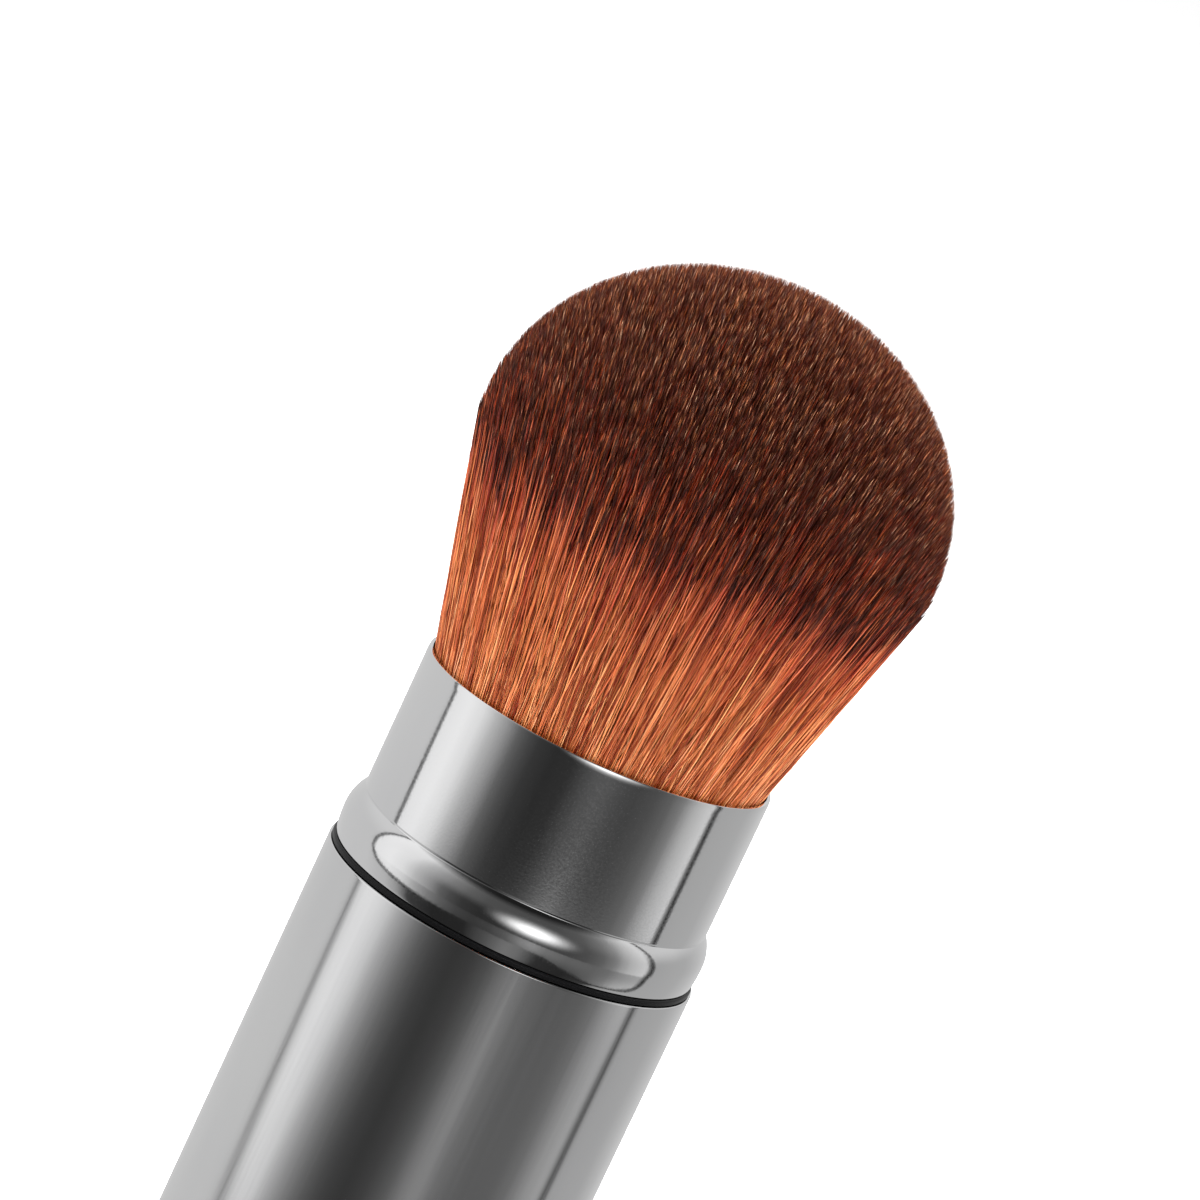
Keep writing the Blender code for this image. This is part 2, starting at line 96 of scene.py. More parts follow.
# Collar
COLLAR_WALL = 0.4 * MM
BEAD_HEIGHT = 3.25 * MM
BEAD_RISE = 1.4 * MM
BEAD_STAND = 0.67 * MM
BEAD_SKIRT = 9.0 * MM
BEAD_SEAT = 0.05 * MM
RIM_SEAT = 0.05 * MM
CREASE_DEPTH = 0.05 * MM
CREASE_HEIGHT = 0.13 * MM
CREASE_RADIUS = 0.1 * MM
CREASE_EDGE_SHARE = 0.75
FOOT_RADIUS = 0.1 * MM
FOOT_INSET_SHARE = 0.25
FOOT_CORNER_SHARE = 0.4
LIP_ROLL = 0.07 * MM
LIP_ROLL_HEIGHT = 0.5 * MM
LIP_STEPS = 12
LIP_EDGE = 0.2 * MM
LIP_FLARE = 2.6 * MM

# Tuft: its counts, the form of its outside, and the slice that it stands in
SEED = 11
FILAMENTS = 60000
SECTORS = 16
COLUMNS = 512
SHELL = 0.9
LIP_RADIUS = 11.8 * MM
ROOT_RADIUS = 8.25 * MM
FLARE = 0.262
DOME_RADIUS = 15.98 * MM
DOME_CENTRE = 16.76 * MM
DOME_RISE = 14.48 * MM
DOME_LIMIT = 0.999
TUFT_LEAN = 0.007
SLICE_RADIUS = 9.3 * MM
SLICE_EDGE = 1.6 * MM
SLICE_TOP = 1.7 * MM
SLICE_FILLETS = (0.15 * MM, 0.3 * MM)
ROOT_DEPTH = 1.5 * MM

# Filaments: how far the tips stand back, and where the dye starts. Both grow from a share of the
# radius, DROP_FROM and DYE_FROM, over the spans
PLACE_JITTER = 0.35
TIP_ROUNDS = 3
DEEP_SHARE = 0.5
TIP_DROP = 0.4 * MM
EVEN_DROP = 0.1 * MM
DROP_GROWTH = 5
DROP_FROM = 0.82
DROP_SPAN = 0.18
DYE_RISE = 1.8 * MM
DYE_FROM = 0.8
DYE_SPAN = 0.15
LONGEST = 46 * MM

# Their rings, as shares of the height, then as lengths under the tip, and their widths
SHELL_RINGS = (0, 0.2, 0.4, 0.6)
CORE_RINGS = (0.45,)
TIP_RINGS = (2.3 * MM, 0.6 * MM)
ROOT_WIDTH = 0.034 * MM
BELLY_WIDTH = 0.038 * MM
BELLY_RISE = 6 * MM
TAPER_LENGTH = 2.6 * MM
TAPER_POWER = 0.35
THICKNESS = (0.7, 1.3)

# How they lie: clumps, a slow wave in radians a metre, and the lean as a slope
CLUMPS = 44
CLUMP_SHIFT = 0.45
CLUMP_PULL = 0.3
CLUMP_RISE = 8 * MM
CLUMP_FALL = 7 * MM
WOBBLE = 0.07 * MM
WOBBLE_RISE = 3 * MM
WAVE_NUMBERS = (200, 600)
TURN_BACK = 0.85
LEAN = 0.06
LEAN_STEPS = (0.5, 1, 2)
LEAN_SHARES = (0.4, 0.4, 0.2)

# Columns of the UV map, and the dye and shade on them, in millimetres from the tip and as factors
COLUMN_EDGE = 0.1
COLUMN_FILL = 0.8
CAP_STEP = 0.01
DYE_SPREAD = 5.5
DYE_RANGE = (0.5, 30.5)
# Painted light and shade along each filament, where it twists: waves a millimetre, and its share
PAINTED_LIGHT_PATCHES = 0.45
PAINTED_LIGHT_SHARE = 0.3
COLUMN_STEP = 7.7
SHADE_RANGE = (0.08, 1.22)
TONE_LIFT = 4.0
HUE_RANGE = (0.494, 0.508)
FIBRE_GLOSS = (0.36, 0.55)

# Patterns of the other materials
NOISE_RANGE = (0.3, 0.7)
LINE_RELIEF = 0.15
DRAWN_DEPTH = 0.0025 * MM
LATHE_MARKS = 0.75 * MM
WAVES_IN_TURN = 20
SPANGLE = 0.6 * MM
FOAM_CELL = 0.5 * MM

# Room that the metal mirrors: brightness by azimuth in degrees, overhead, at the neck's level, at
# the barrel's level, and outside the soft boxes. SIDE_LEVELS is where the boxes' frames show
HIGH_LEVELS = (
    (-180, 0.72), (-100, 0.66), (-95, 0.94), (-70, 0.82), (-60, 0.52), (-50, 0.34), (-40, 0.21),
    (-28, 0.12), (-15, 0.08), (32, 0.075), (50, 0.10), (62, 0.17), (71, 0.27), (81, 0.50),
    (93, 0.72), (104, 0.62), (180, 0.72),
)
EYE_LEVELS = (
    (-103, 0.70), (-98, 0.86), (-82, 0.92), (-70, 0.80), (-60, 0.51), (-50, 0.30), (-43, 0.13),
    (-36, 0.075), (-28, 0.040), (-16, 0.026), (-4, 0.030), (9, 0.064), (20, 0.070), (40, 0.058),
    (52, 0.078), (62, 0.12), (71, 0.21), (81, 0.46), (94, 0.66), (96, 0.15), (104, 0.15),
)
TABLE_LEVELS = (
    (-103, 0.70), (-98, 0.84), (-83, 0.88), (-70, 0.70), (-60, 0.40), (-50, 0.215), (-40, 0.112),
    (-30, 0.061), (-19, 0.042), (-8, 0.058), (3, 0.105), (13, 0.24), (20, 0.29), (28, 0.18),
    (42, 0.131), (60, 0.126), (71, 0.165), (81, 0.285), (94, 0.40), (96, 0.13), (104, 0.13),
)
WALL_LEVELS = (
    (-180, 0.66), (-150, 0.60), (-104, 0.59), (-84, 0.50), (-74, 0.34), (-64, 0.05), (-45, 0.02),
    (-22, 0.02), (-6, 0.09), (6, 0.18), (14, 0.16), (26, 0.03), (45, 0.02), (64, 0.04), (72, 0.26),
    (82, 0.38), (104, 0.40), (130, 0.43), (160, 0.60), (180, 0.66),
)
SIDE_LEVELS = (
    (-112, 0), (-105, 1), (-66, 1), (-40, 0), (40, 0), (66, 1), (105, 1), (112, 0),
)

# Heights, as the sine of the rise, between which the levels blend, and the dim ceiling
TABLE_BLEND = (-0.245, -0.263)
HIGH_BLEND = (0.5, 0.1)
FLOOR_BLEND = (-0.5, -0.3)
CEILING = (0.7, 0.84)
CEILING_LEVEL = 0.16

# Edge of a soft box, as slopes from its middle, and the thin dark frame along it, as greys by how
# far out a direction is. The foot's slope goes from the first to the second over BOX_FOOT_TURNS
BOX_AZIMUTH = radians(55)
BOX_SWEEP = radians(80)
BOX_SIDE = tan(radians(44))
BOX_FOOT = (0.42, 0.60)
BOX_FOOT_TURNS = (0.5, 1.15)
BOX_ROUNDNESS = 8.0
BOX_BLEND = (0.9, 1.15)
BOX_FRAME = ((0.55, 1), (0.7, 0.22), (0.999, 0.22))
FRAME_FADE = (1.35, 1.75)

# Soft front light: its place, half sizes, level and fall. Then the light that matt surfaces get
# from the room, and the paper: its glow, half its side and its height
FRONT_AZIMUTH = radians(17)
FRONT_RISE = 0.17
FRONT_WIDTH = radians(38)
FRONT_HEIGHT = 0.5
FRONT_LEVEL = 1.6
FRONT_POWER = 2.0
AMBIENT = 0.3
PAPER_GLOW = 0.65
PAPER_SIZE = 6.0
PAPER_LEVEL = 0.02 * MM

# Camera, from where the barrel's mouth shows in the frame
FRAME_PIXELS = 1200
MOUTH_AT = (510.4, 912.6)
PIXELS_PER_METRE = 15260
AXIS_LEAN = radians(25.2)
TILT = radians(14.8)
DISTANCE = 0.36
SENSOR = 36


# Meshes


def put_mesh(name, points, quads, triangles, quad_uv=None, triangle_uv=None):
    """A mesh of four-sided and three-sided faces, given as whole arrays, with a UV map if there is
    one."""
    quads = np.asarray(quads, np.int32).reshape(-1, 4)
    triangles = np.asarray(triangles, np.int32).reshape(-1, 3)
    mesh = bpy.data.meshes.new(name)
    mesh.vertices.add(len(points))
    mesh.vertices.foreach_set("co", np.asarray(points, np.float32).ravel())
    corners = np.concatenate([quads.ravel(), triangles.ravel()])
    mesh.loops.add(len(corners))
    mesh.loops.foreach_set("vertex_index", corners)
    starts = np.concatenate(
        [4 * np.arange(len(quads)), quads.size + 3 * np.arange(len(triangles))]
    )
    mesh.polygons.add(len(starts))
    mesh.polygons.foreach_set("loop_start", starts.astype(np.int32))
    mesh.update(calc_edges=True)
    if quad_uv is not None:
        layer = mesh.uv_layers.new(name="OFBake", do_init=False)
        both = np.concatenate([quad_uv.ravel(), triangle_uv.ravel()])
        layer.uv.foreach_set("vector", both.astype(np.float32))
    mesh.shade_smooth()
    made = bpy.data.objects.new(name, mesh)
    bpy.context.scene.collection.objects.link(made)
    return made


def rounded(corners):
    """An outline of (radius, height) points from (radius, height, fillet) corners. A fillet is the
    arc of a circle that touches both sides of its corner, with a support point just outside each
    end."""
    flat = np.array([c[:2] for c in corners], float)
    line = []
    for i, corner in enumerate(corners):
        here, fillet = flat[i], corner[2]
        if fillet == 0:
            line.append(here)
            continue
        back = flat[i - 1] - here
        ahead = flat[(i + 1) % len(flat)] - here
        back /= np.linalg.norm(back)
        ahead /= np.linalg.norm(ahead)
        half = np.arccos(np.clip(back @ ahead, -1, 1)) / 2
        reach = fillet / tan(half)
        middle = here + (back + ahead) / np.linalg.norm(back + ahead) * fillet / sin(half)
        first = here + back * reach - middle
        last = here + ahead * reach - middle
        start = atan2(first[1], first[0])
        sweep = atan2(last[1], last[0]) - start
        sweep = (sweep + pi) % (2 * pi) - pi
        line.append(here + back * (reach + SUPPORT))
        for k in range(ARC_STEPS + 1):
            a = start + sweep * k / ARC_STEPS
            line.append(middle + fillet * np.array([cos(a), sin(a)]))
        line.append(here + ahead * (reach + SUPPORT))
    return np.array(line)


def turned(name, outline, angles=None, reshape=None):
    """Turns an outline about Z: the point (r, z) at angle a is (r cos a, r sin a, z). The outline
    is closed, or has both its ends on the axis. reshape may change the grid's radii, given radii,
    heights and angles."""
    r, z = np.asarray(outline, float).T
    if ((r * np.roll(z, -1)) - (np.roll(r, -1) * z)).sum() < 0:
        r, z = r[::-1], z[::-1]
    if angles is None:
        angles = np.arange(TURNED_SIDES) * 2 * pi / TURNED_SIDES
    a = np.asarray(angles)[None, :]
    radii = np.repeat(r[:, None], a.shape[1], 1)
    heights = np.repeat(z[:, None], a.shape[1], 1)
    if reshape is not None:
        radii = reshape(radii, heights, np.repeat(a, len(r), 0))
    points = np.stack([radii * np.cos(a), radii * np.sin(a), heights], 2)
    index = np.arange(points.shape[0] * points.shape[1]).reshape(points.shape[:2])
    poles = r[0] == 0
    lower = index[1:-2] if poles else index
    upper = index[2:-1] if poles else np.roll(index, -1, 0)
    quads = np.stack([lower, np.roll(lower, -1, 1), np.roll(upper, -1, 1), upper], 2)
    triangles = np.zeros((0, 3), int)
    if poles:
        first, last = index[1], index[-2]
        triangles = np.concatenate(
            [
                np.stack([np.full_like(first, index[0, 0]), np.roll(first, -1), first], 1),
                np.stack([last, np.roll(last, -1), np.full_like(last, index[-1, 0])], 1),
            ]
        )
    made = put_mesh(name, points.reshape(-1, 3), quads, triangles)
    if poles:
        drop_loose(made.data)
    made.data.set_sharp_from_angle(angle=SHARP)
    return made


def drop_loose(mesh):
    """Removes the points that no face uses, which a pole leaves."""
    shape = bmesh.new()
    shape.from_mesh(mesh)
    loose = [v for v in shape.verts if not v.link_faces]
    bmesh.ops.delete(shape, geom=loose, context="VERTS")
    shape.to_mesh(mesh)
    shape.free()


def beside_keys(half_width):
    """Angles round the axis with a close pair at each side of every key, so that its walls are
    crisp."""
    even = np.arange(TURNED_SIDES) * 2 * pi / TURNED_SIDES
    middles = np.arange(KEY_COUNT) * 2 * pi / KEY_COUNT
    near = np.abs((even[:, None] - middles + pi) % (2 * pi) - pi).min(1)
    sides = [s * (half_width + d) for s in (-1, 1) for d in (0, KEY_SIDE_STEP)]
    edges = (middles[:, None] + np.array(sides)).ravel() % (2 * pi)
    kept = even[near > half_width + 2 * KEY_SIDE_STEP]
    return np.sort(np.concatenate([kept, edges, middles]))


def near_key(angles, half_width):
    """Whether each angle lies on a key."""
    turn = 2 * pi / KEY_COUNT
    off = np.abs((angles + turn / 2) % turn - turn / 2)
    return off <= half_width + ANGLE_SLACK


# Turned pieces

barrel_low, barrel_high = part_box("barrel")
ring_low, ring_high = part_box("mouth_bushing")
collar_low, collar_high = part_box("collar")
sleeve_low, sleeve_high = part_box("guard_sleeve")
cap_low, cap_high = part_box("base_cap")
slide_low, slide_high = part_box("slide_ring")
lip = collar_high.z
bead_foot = collar_low.z


def make_barrel():
    """Drawn tube with a small radius on each edge of its rims. It ends just under the black
    ring."""
    outer = barrel_high.x
    rim = ring_high.z - RING_HEIGHT - RIM_SEAT
    inner = outer - BARREL_WALL
    foot = barrel_low.z
    corners = ((inner, foot), (outer, foot), (outer, rim), (inner, rim))
    return turned("barrel_tube", rounded([(*corner, RIM_RADIUS) for corner in corners]))


def make_base_cap():
    """Turned cap with a rounded foot, and a spigot inside the barrel."""
    outer = cap_high.x
    spigot = outer - CAP_SPIGOT_GAP
    bore = spigot - CAP_SPIGOT_WALL
    edge = RIM_RADIUS / 2
    outline = rounded(
        [
            (0, cap_low.z, 0),
            (outer, cap_low.z, CAP_RADIUS),
            (outer, CAP_FLOOR, edge),
            (spigot, CAP_FLOOR, 0),
            (spigot, cap_high.z, edge),
            (bore, cap_high.z, edge),
            (bore, CAP_FLOOR, 0),
            (0, CAP_FLOOR, 0),
        ]
    )
    return turned("base_cap_disc", outline)


def make_mouth_ring():
    """Bushing whose flange, with a large radius on its outer edge, is the black ring. Its keys
    stand in from the bore under the ring."""
    flange = ring_high.x - RING_SET_BACK
    spigot = barrel_high.x - BUSHING_FIT
    bore = spigot - BUSHING_WALL
    foot = ring_high.z - RING_HEIGHT
    key_foot = barrel_high.z - KEY_LENGTH
    outline = rounded(
        [
            (bore, ring_low.z, 0),
            (spigot, ring_low.z, RING_RADIUS / 2),
            (spigot, foot, 0),
            (flange, foot, RIM_RADIUS / 2),
            (flange, ring_high.z, RING_RADIUS),
            (bore, ring_high.z, RIM_RADIUS / 2),
            (bore, barrel_high.z, 0),
            (bore, barrel_high.z - SUPPORT, 0),
            (bore, key_foot + SUPPORT, 0),
            (bore, key_foot, 0),
        ]
    )
    half_width = KEY_WIDTH / 2 / SLEEVE_RADIUS

    def with_keys(radii, heights, angles):
        low = (heights > key_foot + SUPPORT / 2) & (heights < barrel_high.z - SUPPORT / 2)
        on_key = low & (np.abs(radii - bore) < SUPPORT / 2) & near_key(angles, half_width)
        return np.where(on_key, SLEEVE_RADIUS - KEY_DEPTH, radii)

    return turned("mouth_ring", outline, beside_keys(half_width), with_keys)


def make_sleeve():
    """Moulded tube that the collar hangs on, with a seat for the slide ring and a groove for each
    key."""
    shoulder = bead_foot + COLLAR_WALL + SEAT_GAP
    outer = sleeve_high.x
    mouth = sleeve_high.z
    seat = SLEEVE_RADIUS - RING_SEAT_DEPTH
    edge = RIM_RADIUS / 2
    travel = ring_low.z - SEAT_GAP - slide_high.z
    groove_foot = barrel_high.z - KEY_LENGTH - travel - GROOVE_SPARE
    groove_top = barrel_high.z + GROOVE_SPARE
    outline = rounded(
        [
            (SLEEVE_BORE, sleeve_low.z, edge),
            (SLEEVE_RADIUS, sleeve_low.z, edge),
            (SLEEVE_RADIUS, slide_low.z - SEAT_GAP, 0),
            (seat, slide_low.z - SEAT_GAP, 0),
            (seat, slide_high.z + SEAT_GAP, 0),
            (SLEEVE_RADIUS, slide_high.z + SEAT_GAP, 0),
            (SLEEVE_RADIUS, groove_foot, 0),
            (SLEEVE_RADIUS, groove_foot + SUPPORT, 0),
            (SLEEVE_RADIUS, groove_top - SUPPORT, 0),
            (SLEEVE_RADIUS, groove_top, 0),
            (SLEEVE_RADIUS, shoulder, 0),
            (outer, shoulder, 0),
            (outer, mouth, edge),
            (outer - SLEEVE_MOUTH_WALL, mouth, edge),
            (SLEEVE_BORE, shoulder, 0),
        ]
    )
    half_width = (KEY_WIDTH / 2 + RUNNING_GAP) / SLEEVE_RADIUS

    def with_grooves(radii, heights, angles):
        inside = (heights > groove_foot + SUPPORT / 2) & (heights < groove_top - SUPPORT / 2)
        on_wall = inside & (np.abs(radii - SLEEVE_RADIUS) < SUPPORT / 2)
        cut = on_wall & near_key(angles, half_width)
        return np.where(cut, SLEEVE_RADIUS - KEY_DEPTH - RUNNING_GAP, radii)

    return turned("sleeve_tube", outline, beside_keys(half_width), with_grooves)


def make_collar():
    """Drawn shell. The bead's face is a nearly straight skirt below its widest place, and above it
    an arc that ends in the crease, a fine line cut a little into the neck. The lip rolls in by a
    quarter of an ellipse, the shell thins towards it, and the bead turns in under itself, just
    clear of the black ring."""
    bead = collar_high.x
    neck = bead - BEAD_STAND
    bore = neck - COLLAR_WALL
    foot = ring_high.z + BEAD_SEAT
    widest = bead_foot + BEAD_RISE
    rise = BEAD_HEIGHT - BEAD_RISE
    face = (rise**2 + BEAD_STAND**2) / (2 * BEAD_STAND)
    centre = bead - face
    high = np.arccos((neck - CREASE_DEPTH - centre) / face)
    crease = widest + face * sin(high)
    skirt = bead - BEAD_SKIRT
    low = np.arcsin((foot + FOOT_RADIUS - widest) / BEAD_SKIRT)
    outside = [
        (skirt + BEAD_SKIRT * cos(a), widest + BEAD_SKIRT * sin(a), 0)
        for a in np.linspace(low, 0, BEAD_STEPS // 2)
    ] + [
        (centre + face * cos(a), widest + face * sin(a), 0)
        for a in np.linspace(0, high, BEAD_STEPS)[1:]
    ]
    under = outside[0][0] - FOOT_RADIUS * FOOT_INSET_SHARE
    outside[-1] = (neck - CREASE_DEPTH, crease, CREASE_RADIUS)
    rolled = [
        (neck - LIP_ROLL * (1 - cos(a)), lip - LIP_ROLL_HEIGHT * (1 - sin(a)), 0)
        for a in np.linspace(0, pi / 2, LIP_STEPS)
    ]
    back = face - COLLAR_WALL
    skirt_back = BEAD_SKIRT - COLLAR_WALL
    floor = bead_foot + COLLAR_WALL
    turn_in = np.arccos((bore - centre) / back)
    inside = [
        (centre + back * cos(a), widest + back * sin(a), 0)
        for a in np.linspace(turn_in, 0, BEAD_STEPS // 2)[:-1]
    ] + [
        (skirt + skirt_back * cos(a), widest + skirt_back * sin(a), 0)
        for a in np.linspace(0, np.arcsin((floor - widest) / skirt_back), BEAD_STEPS // 3)
    ]
    hole = SLEEVE_RADIUS + RUNNING_GAP
    outline = rounded(
        [
            (hole, foot, 0),
            (under, foot, FOOT_RADIUS * FOOT_CORNER_SHARE),
            *outside,
            (neck, crease + CREASE_HEIGHT, CREASE_RADIUS * CREASE_EDGE_SHARE),
            *rolled,
            (neck - LIP_ROLL - LIP_EDGE, lip, 0),
            (bore, lip - LIP_FLARE, LIP_FLARE),
            *inside,
            (hole, floor, 0),
        ]
    )
    return turned("collar_shell", outline)


# Tuft


def spread_at(height):
    """The tuft's radius at a height over the lip: one straight flare below the lip and one above
    it."""
    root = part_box("bristles")[0].z + SLICE_TOP - lip
    below = LIP_RADIUS + (ROOT_RADIUS - LIP_RADIUS) * height / root
    return np.where(height < 0, below, LIP_RADIUS + FLARE * height)


def dome_at(height):
    """The dome's radius at a height over the lip: a * sqrt(1 - ((h - c) / b)^2) above its widest
    place."""
    above = np.clip((height - DOME_CENTRE) / DOME_RISE, 0, DOME_LIMIT)
    return DOME_RADIUS * np.sqrt(1 - above**2)


def tip_height(reach):
    """Where a filament that leaves at this share of the radius meets the dome. It is the upper root
    of (reach * spread / a)^2 + ((h - c) / b)^2 = 1, with spread = lip + flare * h."""
    p = (reach / DOME_RADIUS) ** 2
    q = 1 / DOME_RISE**2
    square = p * FLARE**2 + q
    linear = 2 * (p * LIP_RADIUS * FLARE - q * DOME_CENTRE)
    constant = p * LIP_RADIUS**2 + q * DOME_CENTRE**2 - 1
    inside = np.maximum(linear**2 - 4 * square * constant, 0)
    return (-linear + np.sqrt(inside)) / (2 * square)


def clump_of(reach, turn, rng):
    """The middle of the clump that each filament leans to, in unit disc places. Clumps are the
    cells of a ring by ring grid, whose middles are moved a little at random."""
    ring = np.minimum((reach * CLUMPS).astype(int), CLUMPS - 1)
    around = np.maximum((2 * pi * (ring + 0.5)).astype(int), 3)
    cell = np.floor(turn / (2 * pi) % 1 * around).astype(int)
    most = int(2 * pi * CLUMPS) + 4
    moved = rng.uniform(-CLUMP_SHIFT, CLUMP_SHIFT, (2, CLUMPS, most))
    middle = (ring + 0.5 + moved[0, ring, cell]) / CLUMPS
    angle = (cell + 0.5 + moved[1, ring, cell]) * 2 * pi / around
    return middle * np.cos(angle), middle * np.sin(angle)


def leaned(place, lean, heights):
    """Places on the unit disc after leaning: each moves by its slope times the height over the lip,
    in shares of the tuft's radius there."""
    return place + lean * np.maximum(heights, 0) / spread_at(heights)


def uv_corners(corners, axis):
    """The u and v arrays of a face's corners as one array."""
    return np.stack([np.stack(pair, axis) for pair in corners], axis)


def filaments(place, lean, clump, dyed_from, heights, widths, rng):
    """Three-sided filaments as arrays: points, side faces, cap and tip faces, and their UV places.
    The place of ring k is spread(h_k) times the filament's place on the unit disc, which leans
    straight, is drawn to its clump halfway up and wanders by a slow sine. Where that would take it
    out of the tuft it is turned back by as much. The whole tuft leans a touch to +X. U is a column
    chosen at random, and V runs up to 1 where the dye is measured from, which is the dome's face,
    or a little over it for the outermost filaments."""
    count, rings = heights.shape
    spread = spread_at(heights)
    up = np.clip(heights / CLUMP_RISE, 0, 1)
    near_tip = np.clip((heights[:, -1:] - heights) / CLUMP_FALL, 0, 1)
    ease = CLUMP_PULL * up * near_tip
    start = rng.uniform(0, 2 * pi, (2, count, 1))
    wave = start + heights * rng.uniform(*WAVE_NUMBERS, (2, count, 1))
    free = np.clip(heights / WOBBLE_RISE, 0, 1) * near_tip * WOBBLE / spread
    px, py = (
        leaned(place[i][:, None], lean[i][:, None], heights)
        + (clump[i] - place[i])[:, None] * ease
        + free * np.sin(wave[i])
        for i in (0, 1)
    )
    limit = np.minimum(1, dome_at(heights) / spread)
    out = np.hypot(px, py) / limit
    back = np.where(out > 1, np.maximum(2 - out, TURN_BACK) / out, 1)
    px, py = px * back * spread, py * back * spread
    px += TUFT_LEAN * np.maximum(heights, 0)
    corner = rng.uniform(0, 2 * pi, (count, 1, 1)) + np.arange(3) * 2 * pi / 3
    ring_points = np.stack(
        [
            px[:, :-1, None] + widths[:, :-1, None] * np.cos(corner),
            py[:, :-1, None] + widths[:, :-1, None] * np.sin(corner),
            np.broadcast_to(heights[:, :-1, None], (count, rings - 1, 3)),
        ],
        3,
    ).reshape(count, -1, 3)
    tips = np.stack([px[:, -1], py[:, -1], heights[:, -1]], 1)[:, None]
    points = np.concatenate([ring_points, tips], 1) + np.array([0, 0, lip])
    each = points.shape[1]
    base = (np.arange(count) * each)[:, None, None]
    k, i = np.arange(rings - 2)[:, None] * 3, np.arange(3)
    j = (i + 1) % 3
    side = np.stack([k + i, k + j, k + 3 + j, k + 3 + i], 2).reshape(-1, 4)
    last = 3 * (rings - 2)
    ends = np.array([[last + a, last + b, each - 1] for a, b in zip(i, j)] + [[2, 1, 0]])
    column = rng.integers(0, COLUMNS, (count, 1))
    left = (column + COLUMN_EDGE + COLUMN_FILL * i / 3) / COLUMNS
    right = (column + COLUMN_EDGE + COLUMN_FILL * (i + 1) / 3) / COLUMNS
    v = 1 - (dyed_from[:, None] - heights) / LONGEST
    low, high = v[:, :-2, None], v[:, 1:-1, None]
    left_k, right_k = (np.broadcast_to(e[:, None], (count, rings - 2, 3)) for e in (left, right))
    low, high = (np.broadcast_to(e, left_k.shape) for e in (low, high))
    side_uv = uv_corners([(left_k, low), (right_k, low), (right_k, high), (left_k, high)], 3)
    v_last = np.broadcast_to(v[:, -2:-1], left.shape)
    point = (left + right) / 2, np.ones_like(left)
    tip_uv = uv_corners([(left, v_last), (right, v_last), point], 2)
    foot = v[:, 0]
    point = left[:, 0], foot + CAP_STEP
    cap_uv = uv_corners([(left[:, 2], foot), (right[:, 1], foot), point], 1)[:, None]
    return points, side + base, ends + base, side_uv, np.concatenate([tip_uv, cap_uv], 1)


def make_tuft():
    """All the filaments, spread over the unit disc by the sunflower rule, and split by where their
    tips stand into sectors, each a piece with the angle of its middle. Those near the outside have
    more rings, because their sides show."""
    rng = np.random.default_rng(SEED)
    order = np.arange(FILAMENTS) + 0.5
    jitter = rng.normal(0, PLACE_JITTER, (2, FILAMENTS)) / sqrt(FILAMENTS)
    reach = np.sqrt(order / FILAMENTS)
    turn = order * pi * (3 - sqrt(5))
    place = np.stack([reach * np.cos(turn), reach * np.sin(turn)]) + jitter
    place /= np.maximum(np.hypot(*place), 1)
    reach, turn = np.hypot(*place), np.arctan2(place[1], place[0])
    clump = np.stack(clump_of(reach, turn, rng))
    slope = rng.normal(0, LEAN, (2, FILAMENTS))
    lean = slope * rng.choice(LEAN_STEPS, FILAMENTS, p=LEAN_SHARES)
    tip = tip_height(reach)
    for _ in range(TIP_ROUNDS):
        tip = tip_height(np.minimum(np.hypot(*leaned(place, lean, tip)), 1))
    deep = rng.uniform(0, 1, FILAMENTS) < DEEP_SHARE
    outer = np.clip((reach - DROP_FROM) / DROP_SPAN, 0, 1)
    longest = TIP_DROP * (1 + DROP_GROWTH * outer**2)
    drop = np.where(deep, rng.exponential(longest), rng.uniform(0, EVEN_DROP, FILAMENTS))
    dyed_from = tip + DYE_RISE * np.clip((reach - DYE_FROM) / DYE_SPAN, 0, 1)
    tip -= drop
    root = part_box("bristles")[0].z + ROOT_DEPTH - lip
    top = leaned(place, lean, tip)
    sector = np.floor(np.arctan2(top[1], top[0]) / (2 * pi) % 1 * SECTORS).astype(int)
    thick = rng.uniform(*THICKNESS, (FILAMENTS, 1))
    made = []
    for number in range(SECTORS):
        batches = []
        for shares, chosen in ((SHELL_RINGS, reach > SHELL), (CORE_RINGS, reach <= SHELL)):
            pick = np.flatnonzero(chosen & (sector == number))
            top = tip[pick][:, None]
            rings = [top * np.array(shares), top - np.array(TIP_RINGS)]
            heights = np.concatenate([np.full_like(top, root), *rings, top], 1)
            grow = np.clip(heights / BELLY_RISE, 0, 1)
            width = ROOT_WIDTH + (BELLY_WIDTH - ROOT_WIDTH) * grow
            taper = np.clip((top - heights) / TAPER_LENGTH, 0, 1) ** TAPER_POWER
            batches.append(
                filaments(
                    place[:, pick],
                    lean[:, pick],
                    clump[:, pick],
                    dyed_from[pick],
                    heights,
                    width * taper * thick[pick],
                    rng,
                )
            )
        offset = len(batches[0][0].reshape(-1, 3))
        piece = put_mesh(
            f"bristles_{number + 1:02d}",
            np.concatenate([b[0].reshape(-1, 3) for b in batches]),
            np.concatenate([batches[0][1].reshape(-1, 4), batches[1][1].reshape(-1, 4) + offset]),
            np.concatenate([batches[0][2].reshape(-1, 3), batches[1][2].reshape(-1, 3) + offset]),
            np.concatenate([b[3].ravel() for b in batches]),
            np.concatenate([b[4].ravel() for b in batches]),
        )
        made.append((piece, 2 * pi * (number + 0.5) / SECTORS))
    return made


def make_root():
    """The slice of fibre and glue that the filaments stand in, slightly domed."""
    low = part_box("bristles")[0].z
    outline = rounded(
        [
            (0, low, 0),
            (SLICE_RADIUS, low, SLICE_FILLETS[0]),
            (SLICE_RADIUS, low + SLICE_EDGE, SLICE_FILLETS[1]),
            (0, low + SLICE_TOP, 0),
        ]
    )
    return turned("bristle_root", outline)


# Materials


